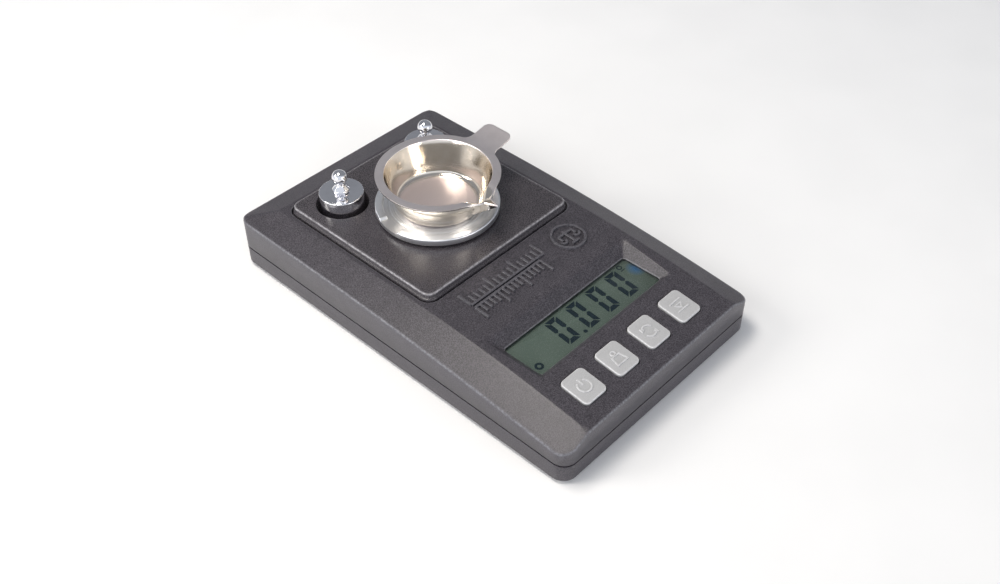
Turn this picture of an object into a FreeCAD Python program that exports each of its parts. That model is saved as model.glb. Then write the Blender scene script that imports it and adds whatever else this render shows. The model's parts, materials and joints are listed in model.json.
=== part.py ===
import FreeCAD, Part
import math
import os
import re
import Sketcher
from FreeCAD import Placement, Rotation, Vector

# A digital gram scale for small charges: a two-shell plastic case with a display and four keys,
# a platform on a bending-beam load cell, a metal pan, and two calibration weights in wells.
#
# Frame: origin at the middle of the footprint, on the plane that the feet stand on.
# +X is to the right of a person reading the display, +Y points to the pan, +Z is up.
# All sizes are millimetres. "Level" means a height above the feet's plane.

DRIVING_SIZES = {
    # case: two shells that meet at a seam
    "case_width": 86.4, "case_length": 140, "case_corner": 4.5, "wall": 2,
    "foot_proud": 0.8, "floor_thickness": 1.8, "bottom_chamfer": 0.5,
    "seam_level": 7.1, "seam_gap": 0.25, "lip_height": 1.5, "lip_thickness": 0.85,
    # upper shell: level at the back, falling in an arc to the front
    "shoulder_level": 17.5, "shoulder_fall": 5.9, "shoulder_start": 33.5,
    "panel_level": 20.7, "panel_fall": 5, "bevel_width": 9.5, "back_bevel": 10.2,
    # raised deck behind the display, in a stepped recess of the panel
    "deck_level": 22.85, "deck_width": 62.4, "deck_front": -6.3, "deck_back": 57,
    "deck_corner": 3, "deck_edge": 0.8, "deck_skin": 2, "deck_rim": 2.9,
    "deck_foot": 0.4, "deck_foot_level": 21.1, "deck_hole_radius": 5,
    "recess_level": 19.2, "recess_gap": 0.7, "ledge_level": 17.2, "ledge_width": 2.5,
    "hook_width": 6, "hook_thickness": 1.2, "hook_barb": 0.8,
    # weighing platform
    "platform_place": 21.5, "platform_radius": 19.9, "platform_gap": 0.8,
    "platform_rim_level": 26, "platform_floor_level": 25.2, "platform_rim_width": 2.7,
    "platform_edge": 0.4, "platform_notch": 8.3, "platform_notch_shift": 1.3,
    "stem_radius": 2, "stem_collar": 3, "hub_radius": 3.7, "hub_depth": 3.5, "socket_depth": 0.9,
    # calibration weights and their wells
    "weight_side": 18.7, "weight_place": 46, "weight_radius": 7.15, "weight_top_level": 26.8,
    "weight_body": 15, "weight_edge": 0.4, "collar_radius": 2.5, "collar_height": 1.3,
    "neck_radius": 1.15, "ball_radius": 2.45, "ball_level": 33.3,
    "well_radius": 8.45, "well_wall": 1.4, "well_floor": 1.2,
    # pan
    "pan_side": 0.8, "pan_rim_level": 36.8, "pan_sheet": 0.5, "pan_foot_radius": 14,
    "pan_foot_round": 2.5, "pan_foot_hollow": 2, "pan_mouth_radius": 17,
    "pan_flange_radius": 19.7, "tab_reach": 28.5, "tab_width": 11.2, "tab_corner": 2.5,
    "tab_root": 2, "spout_reach": 24.8, "spout_width": 8, "spout_tip": 1, "spout_groove": 0.25,
    # display
    "window_width": 54.6, "window_depth": 14.5, "window_place": -39.75, "window_level": 16.2,
    "lens_thickness": 0.8, "lens_margin": 1.3, "glass_width": 60.4, "glass_depth": 18,
    "glass_gap": 0.15, "glass_sheet": 1.1, "glass_ledge": 2, "frame_wall": 1.4, "strip_thickness": 1.6,
    # keys
    "key_side": -1.3, "key_pitch": 14.6, "key_row": -58.9, "key_width": 9.2, "key_depth": 10.4,
    "key_corner": 1.6, "key_proud": 0.55, "key_edge": 0.4, "key_gap": 0.2, "key_flange": 0.9,
    # main board and what is soldered to it
    "board_level": 9.4, "board_thickness": 1.6, "board_width": 66, "board_front": -66,
    "board_back": -29.6, "board_corner": 1, "board_post_side": 29.5, "board_post_inset": 3.5,
    "board_post_step": 9.5, "board_post_radius": 2.2, "board_screw_radius": 0.9,
    "board_screw_head": 1.8, "board_screw_head_height": 1.4, "board_screw_length": 6.4,
    "chip_side": 12, "chip_height": 1.4, "controller_size": 10, "controller_place": -46,
    "converter_width": 10, "converter_depth": 4, "converter_place": -40,
    "capacitor_radius": 2, "capacitor_height": 4.5, "capacitor_pitch": 5,
    "capacitor_place": -36, "switch_size": 6, "switch_height": 2.2,
    "plunger_radius": 1.7, "plunger_height": 1.8, "plunger_level": 14,
    # load cell
    "beam_length": 46, "beam_width": 12, "beam_height": 6, "beam_level": 7.4, "beam_bore": 2.3,
    "beam_bore_side": 6, "beam_slot": 1.2, "beam_screw_pitch": 7, "beam_screw_end": 3.7,
    "spacer_thickness": 1, "pedestal_margin": 1, "screw_radius": 1.5, "screw_head": 2.7,
    "screw_head_height": 1.6, "screw_seat": 1, "screw_short": 1,
    "gauge_length": 5, "gauge_width": 4, "gauge_thickness": 0.25, "stop_gap": 0.35,
    "arm_thickness": 1.6, "arm_width": 10, "stem_shoulder": 2,
    # cables, which run below the board's underside and end just under its back edge
    "wire_radius": 0.4, "cable_drop": 0.5, "cable_tuck": 0.8, "cable_row": 15,
    "cable_lane": 1.5, "cable_spacing": 1.3,
    # batteries
    "cell_radius": 5.25, "cell_length": 44.5, "cell_pitch": 11.4, "cell_row": -16,
    "cell_level": 8.05, "cell_nub_radius": 1.9, "cell_nub": 0.8,
    "bay_width": 50.4, "bay_depth": 23.2, "bay_top": 13.5, "bay_wall": 1.2,
    "contact_sheet": 0.4, "contact_size": 8, "spring_radius": 2.6, "spring_wire": 0.3,
    "door_width": 55.2, "door_depth": 28, "door_thickness": 1.2, "door_gap": 0.2,
    # fasteners and feet
    "post_side": 37.2, "post_place": 63, "post_radius": 3, "post_split": 6.5,
    "case_screw_radius": 1.1, "case_screw_head": 2.1, "case_screw_head_top": 3.2,
    "case_screw_bite": 5, "pilot_spare": 0.5, "foot_radius": 4, "foot_height": 1.7,
    "fit_gap": 0.05,
}

# Sizes that follow from the driving ones, as formulas of the sheet's cells.
DERIVED = {
    "floor_level": "(foot_proud + floor_thickness)",
    "panel_radius": "(((case_length / 2) ^ 2 + panel_fall ^ 2) / (2 * panel_fall))",
    "shoulder_radius": "(((case_length / 2 + shoulder_start) ^ 2 + shoulder_fall ^ 2)"
                       " / (2 * shoulder_fall))",
    "bevel_line": "(case_width / 2 - bevel_width)",
    "deck_place": "((deck_front + deck_back) / 2)",
    "deck_depth": "(deck_back - deck_front)",
    "platform_level": "(deck_level + platform_gap)",
    "well_level": "(weight_top_level - weight_body)",
    "board_top": "(board_level + board_thickness)",
    "glass_level": "(window_level - lens_thickness - glass_gap)",
    "key_tilt": "asin(-key_row / panel_radius)",
    "key_level": "(panel_level - panel_radius + sqrt(panel_radius ^ 2 - key_row ^ 2))",
    "beam_front": "(platform_place - beam_length / 2)",
    "beam_back": "(platform_place + beam_length / 2)",
    "beam_top": "(beam_level + beam_height)",
    "screw_seat_level": "(floor_level + screw_seat)",
    "cable_level": "(board_level - cable_drop)",
    "cable_end": "(board_back - cable_tuck)",
}

QUARTER_TURN = math.pi / 2
SPARE = 1            # how far a cut or a trimmed form runs past the piece it shapes
ZERO = 1e-9          # a coordinate smaller than this lies on the axis
SAME_LEVEL = 0.01    # an edge this close to a level lies on it
LEAST_CUT = 1e-6     # a cut that takes less volume than this has missed the piece

doc = FreeCAD.newDocument("gram_scale")
sheet = doc.addObject("Spreadsheet::Sheet", "Size")
for row, (alias, size) in enumerate(DRIVING_SIZES.items(), start=1):
    sheet.set(f"A{row}", alias.replace("_", " "))
    sheet.set(f"B{row}", str(size))
    sheet.setAlias(f"B{row}", alias)
doc.recompute()


def bound(formula):
    """Write a formula in terms of the sheet's cells."""
    text = str(formula)
    for name, meaning in reversed(DERIVED.items()):
        text = re.sub(rf"\b{name}\b", meaning, text)
    return re.sub(r"[a-z][a-z_]+", lambda word: "Size." + word[0] if word[0] in DRIVING_SIZES
                  else word[0], text)


def number(formula):
    """The present value of a formula."""
    result = sheet.evalExpression(bound(formula))
    return float(getattr(result, "Value", result))


# ---- Outlines: each returns a function that draws on a sketch and ties it to the sheet ----

def hold(sketch, kind, item, point, formula):
    """Fix one coordinate of a sketch point, measured from the sketch's origin."""
    size = number(formula)
    if abs(size) < ZERO:
        axis = -2 if kind == "DistanceX" else -1
        sketch.addConstraint(Sketcher.Constraint("PointOnObject", item, point, axis))
        return
    index = sketch.addConstraint(Sketcher.Constraint(kind, -1, 1, item, point, size))
    sketch.setExpression(f"Constraints[{index}]", bound(formula))


def hold_point(sketch, item, point, across, along):
    hold(sketch, "DistanceX", item, point, across)
    hold(sketch, "DistanceY", item, point, along)


def hold_radius(sketch, item, formula):
    index = sketch.addConstraint(Sketcher.Constraint("Radius", item, number(formula)))
    sketch.setExpression(f"Constraints[{index}]", bound(formula))


def polygon(*corners):
    """A closed outline of straight lines through corners given as pairs of formulas."""
    def draw(sketch):
        points = [Vector(number(across), number(along), 0) for across, along in corners]
        lines = []
        for start, end in zip(points, points[1:] + points[:1]):
            lines.append(sketch.addGeometry(Part.LineSegment(start, end)))
        for line, after in zip(lines, lines[1:] + lines[:1]):
            sketch.addConstraint(Sketcher.Constraint("Coincident", line, 2, after, 1))
        for line, (across, along) in zip(lines, corners):
            hold_point(sketch, line, 1, across, along)
    return draw


def open_line(*corners):
    """A run of straight lines through corners given as pairs of formulas."""
    def draw(sketch):
        points = [Vector(number(across), number(along), 0) for across, along in corners]
        lines = [sketch.addGeometry(Part.LineSegment(start, end))
                 for start, end in zip(points, points[1:])]
        for line, after in zip(lines, lines[1:]):
            sketch.addConstraint(Sketcher.Constraint("Coincident", line, 2, after, 1))
        for line, (across, along) in zip(lines, corners):
            hold_point(sketch, line, 1, across, along)
        hold_point(sketch, lines[-1], 2, *corners[-1])
    return draw


def half_disc(radius, height):
    """A half circle against the vertical axis, for a ball."""
    def draw(sketch):
        middle = Vector(0, number(height), 0)
        reach = Vector(0, number(radius), 0)
        circle = Part.Circle(middle, Vector(0, 0, 1), number(radius))
        arc = sketch.addGeometry(Part.ArcOfCircle(circle, -QUARTER_TURN, QUARTER_TURN))
        line = sketch.addGeometry(Part.LineSegment(middle + reach, middle - reach))
        sketch.addConstraint(Sketcher.Constraint("Coincident", arc, 2, line, 1))
        sketch.addConstraint(Sketcher.Constraint("Coincident", line, 2, arc, 1))
        sketch.addConstraint(Sketcher.Constraint("PointOnObject", line, 1, -2))
        sketch.addConstraint(Sketcher.Constraint("Vertical", line))
        hold_point(sketch, arc, 3, "0", height)
        hold_radius(sketch, arc, radius)
    return draw


def rectangle(across, along, width, depth):
    """A rectangle about a centre."""
    left, right = f"{across} - ({width}) / 2", f"{across} + ({width}) / 2"
    near, far = f"{along} - ({depth}) / 2", f"{along} + ({depth}) / 2"
    return polygon((left, near), (right, near), (right, far), (left, far))


def rounded(across, along, width, depth, radius):
    """A rectangle about a centre, with round corners."""
    def draw(sketch):
        centre = Vector(number(across), number(along), 0)
        half_width, half_depth = number(width) / 2, number(depth) / 2
        turn = number(radius)
        sides = [(1, -1), (1, 1), (-1, 1), (-1, -1)]
        arcs = []
        for quarter, (right, far) in enumerate(sides):
            middle = centre + Vector(right * (half_width - turn), far * (half_depth - turn), 0)
            circle = Part.Circle(middle, Vector(0, 0, 1), turn)
            start = (quarter - 1) * QUARTER_TURN
            arcs.append(sketch.addGeometry(Part.ArcOfCircle(circle, start, start + QUARTER_TURN)))
        for arc, after in zip(arcs, arcs[1:] + arcs[:1]):
            start = sketch.getPoint(arc, 2)
            end = sketch.getPoint(after, 1)
            line = sketch.addGeometry(Part.LineSegment(start, end))
            sketch.addConstraint(Sketcher.Constraint("Tangent", arc, 2, line, 1))
            sketch.addConstraint(Sketcher.Constraint("Tangent", line, 2, after, 1))
        for arc, (right, far) in zip(arcs, sides):
            hold_point(sketch, arc, 3, f"{across} + {right} * (({width}) / 2 - ({radius}))",
                       f"{along} + {far} * (({depth}) / 2 - ({radius}))")
        hold_radius(sketch, arcs[0], radius)
        for arc in arcs[1:]:
            sketch.addConstraint(Sketcher.Constraint("Equal", arcs[0], arc))
    return draw


def circles(radius, *centres):
    """Equal circles about centres given as pairs of formulas."""
    def draw(sketch):
        for across, along in centres:
            middle = Vector(number(across), number(along), 0)
            circle = sketch.addGeometry(Part.Circle(middle, Vector(0, 0, 1), number(radius)))
            hold_point(sketch, circle, 3, across, along)
            hold_radius(sketch, circle, radius)
    return draw


def four_corners(across, along):
    """The four mirror images of a point about the two axes."""
    return [(f"{side} * {across}", f"{end} * {along}") for side in (-1, 1) for end in (-1, 1)]


# ---- Pieces: each is a body built up feature by feature ----

pieces = []


class Piece:
    def __init__(self, name, kept=True):
        self.body = doc.addObject("PartDesign::Body", name)
        self.body.Label = name
        if kept:
            pieces.append(self)

    def place(self, across="0", along="0", up="0", tilt="0", axis=Vector(1, 0, 0)):
        """Put the body's own origin in the assembly, tilted about an axis."""
        self.body.Placement = Placement(Vector(), Rotation(axis, number(tilt)))
        for letter, formula in (("x", across), ("y", along), ("z", up)):
            self.body.setExpression(f"Placement.Base.{letter}", bound(formula))
        if tilt != "0":
            self.body.setExpression("Placement.Rotation.Angle", bound(tilt))

    def sketch(self, plane, offset, draw):
        """Draw on one of the body's own origin planes, moved along its normal."""
        sketch = self.body.newObject("Sketcher::SketchObject", f"{self.body.Name}_{plane}")
        support = [item for item in self.body.Origin.OriginFeatures
                   if item.Role == f"{plane}_Plane"][0]
        sketch.AttachmentSupport = (support, [""])
        sketch.MapMode = "FlatFace"
        sketch.setExpression("AttachmentOffset.Base.z", bound(offset))
        draw(sketch)
        return sketch

    def feature(self, kind, sketch):
        feature = self.body.newObject(f"PartDesign::{kind}", f"{self.body.Name}_{kind}")
        feature.Profile = sketch
        return feature

    def pad(self, plane, low, high, draw):
        """Add material between two offsets along the plane's normal."""
        feature = self.feature("Pad", self.sketch(plane, low, draw))
        feature.setExpression("Length", bound(f"({high}) - ({low})"))

    def pocket(self, plane, low, high, draw):
        """Cut material between two offsets along the plane's normal."""
        volume = self.volume()
        feature = self.feature("Pocket", self.sketch(plane, high, draw))
        feature.setExpression("Length", bound(f"({high}) - ({low})"))
        self.require_less(volume, feature)

    def turn(self, draw):
        """Revolve a half profile, drawn as radius and height, about the vertical axis."""
        sketch = self.sketch("XZ", "0", draw)
        feature = self.feature("Revolution", sketch)
        feature.ReferenceAxis = (sketch, ["V_Axis"])
        feature.Angle = 360

    def coil(self, draw, pitch, height):
        """Sweep a profile drawn beside the vertical axis along a helix about it."""
        feature = self.feature("AdditiveHelix", self.sketch("XZ", "0", draw))
        feature.ReferenceAxis = (feature.Profile[0], ["V_Axis"])
        feature.Mode = "pitch-height-angle"
        feature.setExpression("Pitch", bound(pitch))
        feature.setExpression("Height", bound(height))

    def pipe(self, level, corners, plane, offset, draw):
        """Sweep a profile along a path of straight lines that lies at one level."""
        path = self.sketch("XY", level, open_line(*corners))
        feature = self.feature("AdditivePipe", self.sketch(plane, offset, draw))
        feature.Spine = path
        feature.Transition = "Round corner"

    def dress(self, kind, size, chosen):
        """Fillet or chamfer the edges for which chosen(edge) is true."""
        doc.recompute()
        base = self.body.Tip
        names = [f"Edge{place}" for place, edge in enumerate(base.Shape.Edges, start=1)
                 if chosen(edge)]
        if not names:
            raise RuntimeError(f"{self.body.Label}: no edge to {kind}")
        feature = self.body.newObject(f"PartDesign::{kind}", f"{self.body.Name}_{kind}")
        feature.Base = (base, names)
        feature.setExpression("Radius" if kind == "Fillet" else "Size", bound(size))
        doc.recompute()

    def combine(self, kind, tool):
        """Cut away, or keep only what is common with, another body."""
        doc.recompute()
        feature = self.body.newObject("PartDesign::Boolean", f"{self.body.Name}_{kind}")
        feature.Type = kind
        feature.setObjects([tool.body])
        doc.recompute()

    def volume(self):
        doc.recompute()
        return self.body.Shape.Volume if self.body.Tip else 0

    def require_less(self, volume, feature):
        doc.recompute()
        if not self.body.Shape.Volume < volume - LEAST_CUT:
            raise RuntimeError(f"{feature.Label} cut nothing")


# ---- Case ----

CASE_POSTS = four_corners("post_side", "post_place")
BOARD_POSTS = [(f"{side} * board_post_side", f"board_front + board_post_inset + {row}")
               for side in (-1, 1) for row in ("0", "board_post_step")]
BOARD_RESTS = [(f"{side} * board_post_side", "board_back - board_post_inset")
               for side in (-1, 1)]
WELLS = [("-weight_side", "weight_place"), ("weight_side", "weight_place")]
FIXED_END = [("0", "beam_front + beam_screw_end"),
             ("0", "beam_front + beam_screw_end + beam_screw_pitch")]
FREE_END = [("0", "beam_back - beam_screw_end"),
            ("0", "beam_back - beam_screw_end - beam_screw_pitch")]
END_MIDDLE = "(beam_screw_end + beam_screw_pitch / 2)"
STOP_PLACE = ("0", f"beam_back - {END_MIDDLE}")
KEY_STEPS = {"power": -1.5, "calibrate": -0.5, "unit": 0.5, "tare": 1.5}
KEY_PLACES = {name: f"(key_side + {step} * key_pitch)" for name, step in KEY_STEPS.items()}


def case_outline(inset):
    return rounded("0", "0", f"case_width - 2 * ({inset})", f"case_length - 2 * ({inset})",
                   f"case_corner - ({inset})")


def deck_outline(margin):
    return rounded("0", "deck_place", f"deck_width + 2 * ({margin})",
                   f"deck_depth + 2 * ({margin})", f"deck_corner + ({margin})")


def window_outline(margin):
    return rectangle("0", "window_place", f"window_width + 2 * ({margin})",
                     f"window_depth + 2 * ({margin})")


def keys_outline(width, depth, corner):
    """The outlines of the four keys, side by side."""
    def draw(sketch):
        for place in KEY_PLACES.values():
            rounded(place, "0", width, depth, corner)(sketch)
    return draw


def arc_level(level, radius, start, along):
    """Height of a surface that is level behind start and falls in an arc in front of it."""
    if number(along) >= number(start):
        return level
    return f"{level} - {radius} + sqrt({radius} ^ 2 - ({start} - ({along})) ^ 2)"


def upper_form(name, low, inset, drop, kept=False):
    """The upper shell's outer form, or its hollow when inset and lowered by the wall.

    A loft of sections from front to back gives the panel and its two side bevels. It runs past
    the case all round, and the case's outline then trims it.
    """
    form = Piece(name, kept)
    stations = 28
    side = f"(case_width / 2 + {SPARE})"
    sections = []
    for station in range(stations + 1):
        along = f"((case_length + 2 * {SPARE}) * ({station} / {stations} - 1 / 2))"
        shoulder = arc_level("shoulder_level", "shoulder_radius", "shoulder_start", along)
        panel = arc_level("panel_level", "panel_radius", "0", along)
        edge = f"{shoulder} - {SPARE} / bevel_width * (({panel}) - ({shoulder})) - {drop}"
        outline = polygon((f"-{side}", f"{low} - {SPARE}"), (side, f"{low} - {SPARE}"),
                          (side, edge), ("bevel_line", f"{panel} - {drop}"),
                          ("-bevel_line", f"{panel} - {drop}"), (f"-{side}", edge))
        sections.append(form.sketch("XZ", f"-{along}", outline))
    loft = form.feature("AdditiveLoft", sections[0])
    loft.Sections = sections[1:]

    line, back = "(case_length / 2 - back_bevel)", "(case_length / 2 + back_bevel)"
    form.pocket("YZ", "-case_width", "case_width",
                polygon((line, f"panel_level - {drop}"),
                        (back, f"2 * shoulder_level - panel_level - {drop}"),
                        (back, f"panel_level + {SPARE}"), (line, f"panel_level + {SPARE}")))
    footprint = Piece(f"{name}_outline", kept=False)
    footprint.pad("XY", low, f"panel_level + {SPARE}", case_outline(inset))
    form.combine("Common", footprint)
    return form


def case_hollow():
    """What is empty inside the upper shell: its form less the posts and thick places."""
    hollow = upper_form("case_hollow", "seam_level", "wall", "wall")
    hollow.pocket("XY", "seam_level", "panel_level", circles("post_radius", *CASE_POSTS))
    seat = "(deck_foot + recess_gap + wall)"
    hollow.pocket("XY", "ledge_level", "panel_level",
                  rectangle("0", "deck_place", f"deck_width + 2 * {seat}",
                            f"deck_depth + 2 * {seat}"))
    hollow.pocket("XY", "glass_level + 2 * fit_gap", "panel_level",
                  window_outline("lens_margin + wall"))
    return hollow


def window_flare():
    """The window's sides: they open at 45 degrees from the lens up to the panel."""
    flare = Piece("window_flare", kept=False)
    near = flare.sketch("XY", "window_level - fit_gap", window_outline("0"))
    far = flare.sketch("XY", "panel_level", window_outline("panel_level - window_level"))
    loft = flare.feature("AdditiveLoft", near)
    loft.Sections = [far]
    return flare


def key_openings():
    """Four openings square to the sloping panel."""
    openings = Piece("key_openings", kept=False)
    openings.pad("XY", "-2 * wall", "wall",
                 keys_outline("key_width + 2 * key_gap", "key_depth + 2 * key_gap",
                              "key_corner + key_gap"))
    openings.place(along="key_row", up="key_level", tilt="key_tilt")
    return openings


def top_cover():
    cover = upper_form("top_cover", "seam_level + seam_gap", "0", "0", kept=True)
    cover.combine("Cut", case_hollow())
    cover.pad("XY", "post_split", "seam_level + wall", circles("post_radius", *CASE_POSTS))
    cover.pocket("XY", "post_split", "post_split + case_screw_bite + pilot_spare",
                 circles("case_screw_radius + fit_gap", *CASE_POSTS))
    cover.pocket("XY", "recess_level", f"panel_level + {SPARE}",
                 deck_outline("deck_foot + recess_gap"))
    cover.pocket("XY", f"ledge_level - {SPARE}", "recess_level",
                 deck_outline("deck_foot - ledge_width"))
    cover.pocket("XY", f"ledge_level - {SPARE}", "recess_level",
                 circles("well_radius + well_wall + 4 * fit_gap", *WELLS))
    cover.pocket("XY", "glass_level", "window_level", window_outline("lens_margin + fit_gap"))
    cover.combine("Cut", window_flare())
    cover.combine("Cut", key_openings())


def base_cover():
    """Lower shell: floor, wall and lip, battery bay, and posts for what stands inside."""
    cover = Piece("base_cover")
    cover.pad("XY", "foot_proud", "seam_level + lip_height", case_outline("0"))
    cover.dress("Chamfer", "bottom_chamfer",
                lambda edge: edge.BoundBox.ZMax < number("foot_proud") + SAME_LEVEL)
    lip = "(wall + fit_gap)"

    def outside_the_lip(sketch):
        case_outline(f"-{SPARE}")(sketch)
        case_outline(lip)(sketch)

    cover.pocket("XY", "seam_level", "seam_level + lip_height", outside_the_lip)
    cover.pocket("XY", "floor_level", "seam_level + lip_height",
                 case_outline(f"{lip} + lip_thickness"))

    # battery bay: a box that opens downwards, with a stepped seat for the door
    cover.pad("XY", "foot_proud", "bay_top + bay_wall",
              rectangle("0", "cell_row", "bay_width + 2 * bay_wall", "bay_depth + 2 * bay_wall"))
    cover.pocket("XY", "foot_proud", "bay_top",
                 rectangle("0", "cell_row", "bay_width", "bay_depth"))
    cover.pocket("XY", "foot_proud", "foot_proud + door_thickness",
                 rectangle("0", "cell_row", "door_width + 2 * door_gap",
                           "door_depth + 2 * door_gap"))

    # posts under the upper shell's posts, with the foot, screw head and screw inside them
    cover.pad("XY", "foot_proud", "post_split", circles("post_radius", *CASE_POSTS))
    cover.pocket("XY", "foot_proud", "foot_height",
                 circles("foot_radius + 2 * fit_gap", *CASE_POSTS))
    cover.pocket("XY", "foot_height", "case_screw_head_top",
                 circles("case_screw_head + 2 * fit_gap", *CASE_POSTS))
    cover.pocket("XY", "case_screw_head_top", "post_split",
                 circles("case_screw_radius + 2 * fit_gap", *CASE_POSTS))

    # posts of the main board
    cover.pad("XY", "floor_level", "board_level",
              circles("board_post_radius", *BOARD_POSTS, *BOARD_RESTS))
    cover.pocket("XY", "board_top - board_screw_length - pilot_spare", "board_level",
                 circles("board_screw_radius + fit_gap", *BOARD_POSTS))

    # pedestal of the load cell's fixed end, and the post of its overload stop
    pedestal_top = "beam_level - spacer_thickness"
    cover.pad("XY", "floor_level", pedestal_top,
              rectangle("0", f"beam_front + {END_MIDDLE}", "beam_width + 2 * pedestal_margin",
                        f"2 * {END_MIDDLE}"))
    cover.pocket("XY", "foot_proud", pedestal_top,
                 circles("screw_radius + 2 * fit_gap", *FIXED_END))
    cover.pocket("XY", "foot_proud", "screw_seat_level",
                 circles("screw_head + 2 * fit_gap", *FIXED_END))
    cover.pad("XY", "floor_level", "beam_level - 4 * stop_gap",
              circles("2 * screw_radius", STOP_PLACE))
    cover.pocket("XY", "floor_level", "beam_level - 4 * stop_gap",
                 circles("screw_radius + fit_gap", STOP_PLACE))


def deck_plate():
    """Raised plate with the platform's hole and two wells, clipped into the upper shell."""
    deck = Piece("deck_plate")
    deck.pad("XY", "recess_level", "deck_level", deck_outline("0"))
    deck.dress("Fillet", "deck_edge",
               lambda edge: edge.BoundBox.ZMin > number("deck_level") - SAME_LEVEL)
    deck.pad("XY", "recess_level", "deck_foot_level", deck_outline("deck_foot"))
    underside = "deck_level - deck_skin"
    deck.pocket("XY", "recess_level", underside, deck_outline("-deck_rim"))
    deck.pad("XY", "well_level - well_floor", underside,
             circles("well_radius + well_wall", *WELLS))
    deck.pocket("XY", "well_level", "deck_level", circles("well_radius", *WELLS))
    deck.pocket("XY", underside, "deck_level",
                circles("deck_hole_radius", ("0", "platform_place")))

    # hooks that clip under the shell's ledge
    face = "(deck_width / 2 + deck_foot - ledge_width - 4 * fit_gap)"
    for side in ("-1", "1"):
        hook = polygon((f"{side} * ({face} - hook_thickness)", underside),
                       (f"{side} * {face}", underside),
                       (f"{side} * {face}", "ledge_level - fit_gap"),
                       (f"{side} * ({face} + hook_barb)", "ledge_level - fit_gap"),
                       (f"{side} * {face}", "ledge_level - hook_thickness"),
                       (f"{side} * ({face} - hook_thickness)", "ledge_level - hook_thickness"))
        for front in ("deck_front + hook_width", "deck_front + 5 * hook_width"):
            deck.pad("XZ", f"-({front} + hook_width)", f"-({front})", hook)


def case_screws():
    screws = Piece("case_screws")
    screws.pad("XY", "foot_height + fit_gap", "case_screw_head_top",
               circles("case_screw_head", *CASE_POSTS))
    screws.pad("XY", "case_screw_head_top", "post_split + case_screw_bite",
               circles("case_screw_radius", *CASE_POSTS))


def rubber_feet():
    feet = Piece("rubber_feet")
    feet.pad("XY", "0", "foot_height", circles("foot_radius", *CASE_POSTS))
    feet.dress("Fillet", "foot_proud / 2", lambda edge: edge.BoundBox.ZMax < SAME_LEVEL)


# ---- Display ----

def display():
    lens = Piece("display_lens")
    lens.pad("XY", "window_level - lens_thickness", "window_level",
             window_outline("lens_margin"))

    # two sheets sealed together: the upper one overhangs the lower one for its contacts
    glass = Piece("display_glass")
    glass.pad("XY", "glass_level - glass_sheet", "glass_level",
              rectangle("0", "window_place", "glass_width", "glass_depth"))
    under_glass = "(glass_level - 2 * glass_sheet - fit_gap)"
    glass.pad("XY", under_glass, "glass_level - glass_sheet",
              rectangle("0", "window_place", "glass_width", "glass_depth - 2 * glass_ledge"))

    strips = Piece("contact_strips")

    def two_strips(sketch):
        for side in ("-", "+"):
            place = f"window_place {side} (glass_depth - glass_ledge) / 2"
            rectangle("0", place, "glass_width - 3 * glass_ledge", "strip_thickness")(sketch)

    strips.pad("XY", "board_top", "glass_level - glass_sheet", two_strips)

    backlight = Piece("backlight_panel")
    backlight.pad("XY", f"{under_glass} - glass_sheet", f"{under_glass} - fit_gap",
                  rectangle("0", "window_place", "glass_width - glass_ledge",
                            "glass_depth - 2 * glass_ledge - 4 * fit_gap"))

    frame = Piece("display_frame")

    def around_the_glass(sketch):
        for margin in ("fit_gap", "frame_wall"):
            rectangle("0", "window_place", f"glass_width + 2 * {margin}",
                      f"glass_depth + 2 * {margin}")(sketch)

    frame.pad("XY", "board_top", "glass_level - fit_gap", around_the_glass)


# ---- Main board and keys ----

def main_board():
    board = Piece("main_board")
    middle = "(board_front + board_back) / 2"
    board.pad("XY", "board_level", "board_top",
              rounded("0", middle, "board_width", "board_back - board_front", "board_corner"))
    board.pocket("XY", "board_level", "board_top",
                 circles("board_screw_radius + 2 * fit_gap", *BOARD_POSTS))

    screws = Piece("board_screws")
    screws.pad("XY", "board_top", "board_top + board_screw_head_height",
               circles("board_screw_head", *BOARD_POSTS))
    screws.pad("XY", "board_top - board_screw_length", "board_top",
               circles("board_screw_radius", *BOARD_POSTS))

    controller = Piece("controller_chip")
    controller.pad("XY", "board_level - chip_height", "board_level",
                   rectangle("-chip_side", "controller_place", "controller_size",
                             "controller_size"))
    converter = Piece("converter_chip")
    converter.pad("XY", "board_level - chip_height", "board_level",
                  rectangle("chip_side", "converter_place", "converter_width",
                            "converter_depth"))
    capacitors = Piece("board_capacitors")
    capacitors.pad("XY", "board_level - capacitor_height", "board_level",
                   circles("capacitor_radius", ("0", "capacitor_place"),
                           ("capacitor_pitch", "capacitor_place"),
                           ("chip_side", "controller_place")))


def key(name, place):
    """A key cap with the flange that keeps it in the shell, built square to the panel."""
    cap = Piece(f"button_{name}")
    cap.pad("XY", "-wall - fit_gap", "key_proud",
            rounded("0", "0", "key_width", "key_depth", "key_corner"))
    cap.dress("Fillet", "key_edge",
              lambda edge: edge.BoundBox.ZMin > number("key_proud") - SAME_LEVEL)
    cap.pad("XY", "-wall - fit_gap - key_flange", "-wall - fit_gap",
            rounded("0", "0", "key_width + 2 * key_flange", "key_depth + 2 * key_flange",
                    "key_corner"))
    cap.place(place, "key_row", "key_level", "key_tilt")

    plunger = Piece(f"plunger_{name}")
    plunger.pad("XY", "0", "plunger_height", circles("plunger_radius", ("0", "0")))
    plunger.place(place, "key_row", "plunger_level - plunger_height")


def switch_housings():
    housings = Piece("switch_housings")
    top = "board_top + switch_height"

    def four_squares(sketch):
        for place in KEY_PLACES.values():
            rectangle(place, "key_row", "switch_size", "switch_size")(sketch)

    housings.pad("XY", "board_top", top, four_squares)
    wells = [(place, "key_row") for place in KEY_PLACES.values()]
    housings.pocket("XY", f"{top} - plunger_height", top,
                    circles("plunger_radius + 5 * fit_gap", *wells))


# ---- Weighing train ----

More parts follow.
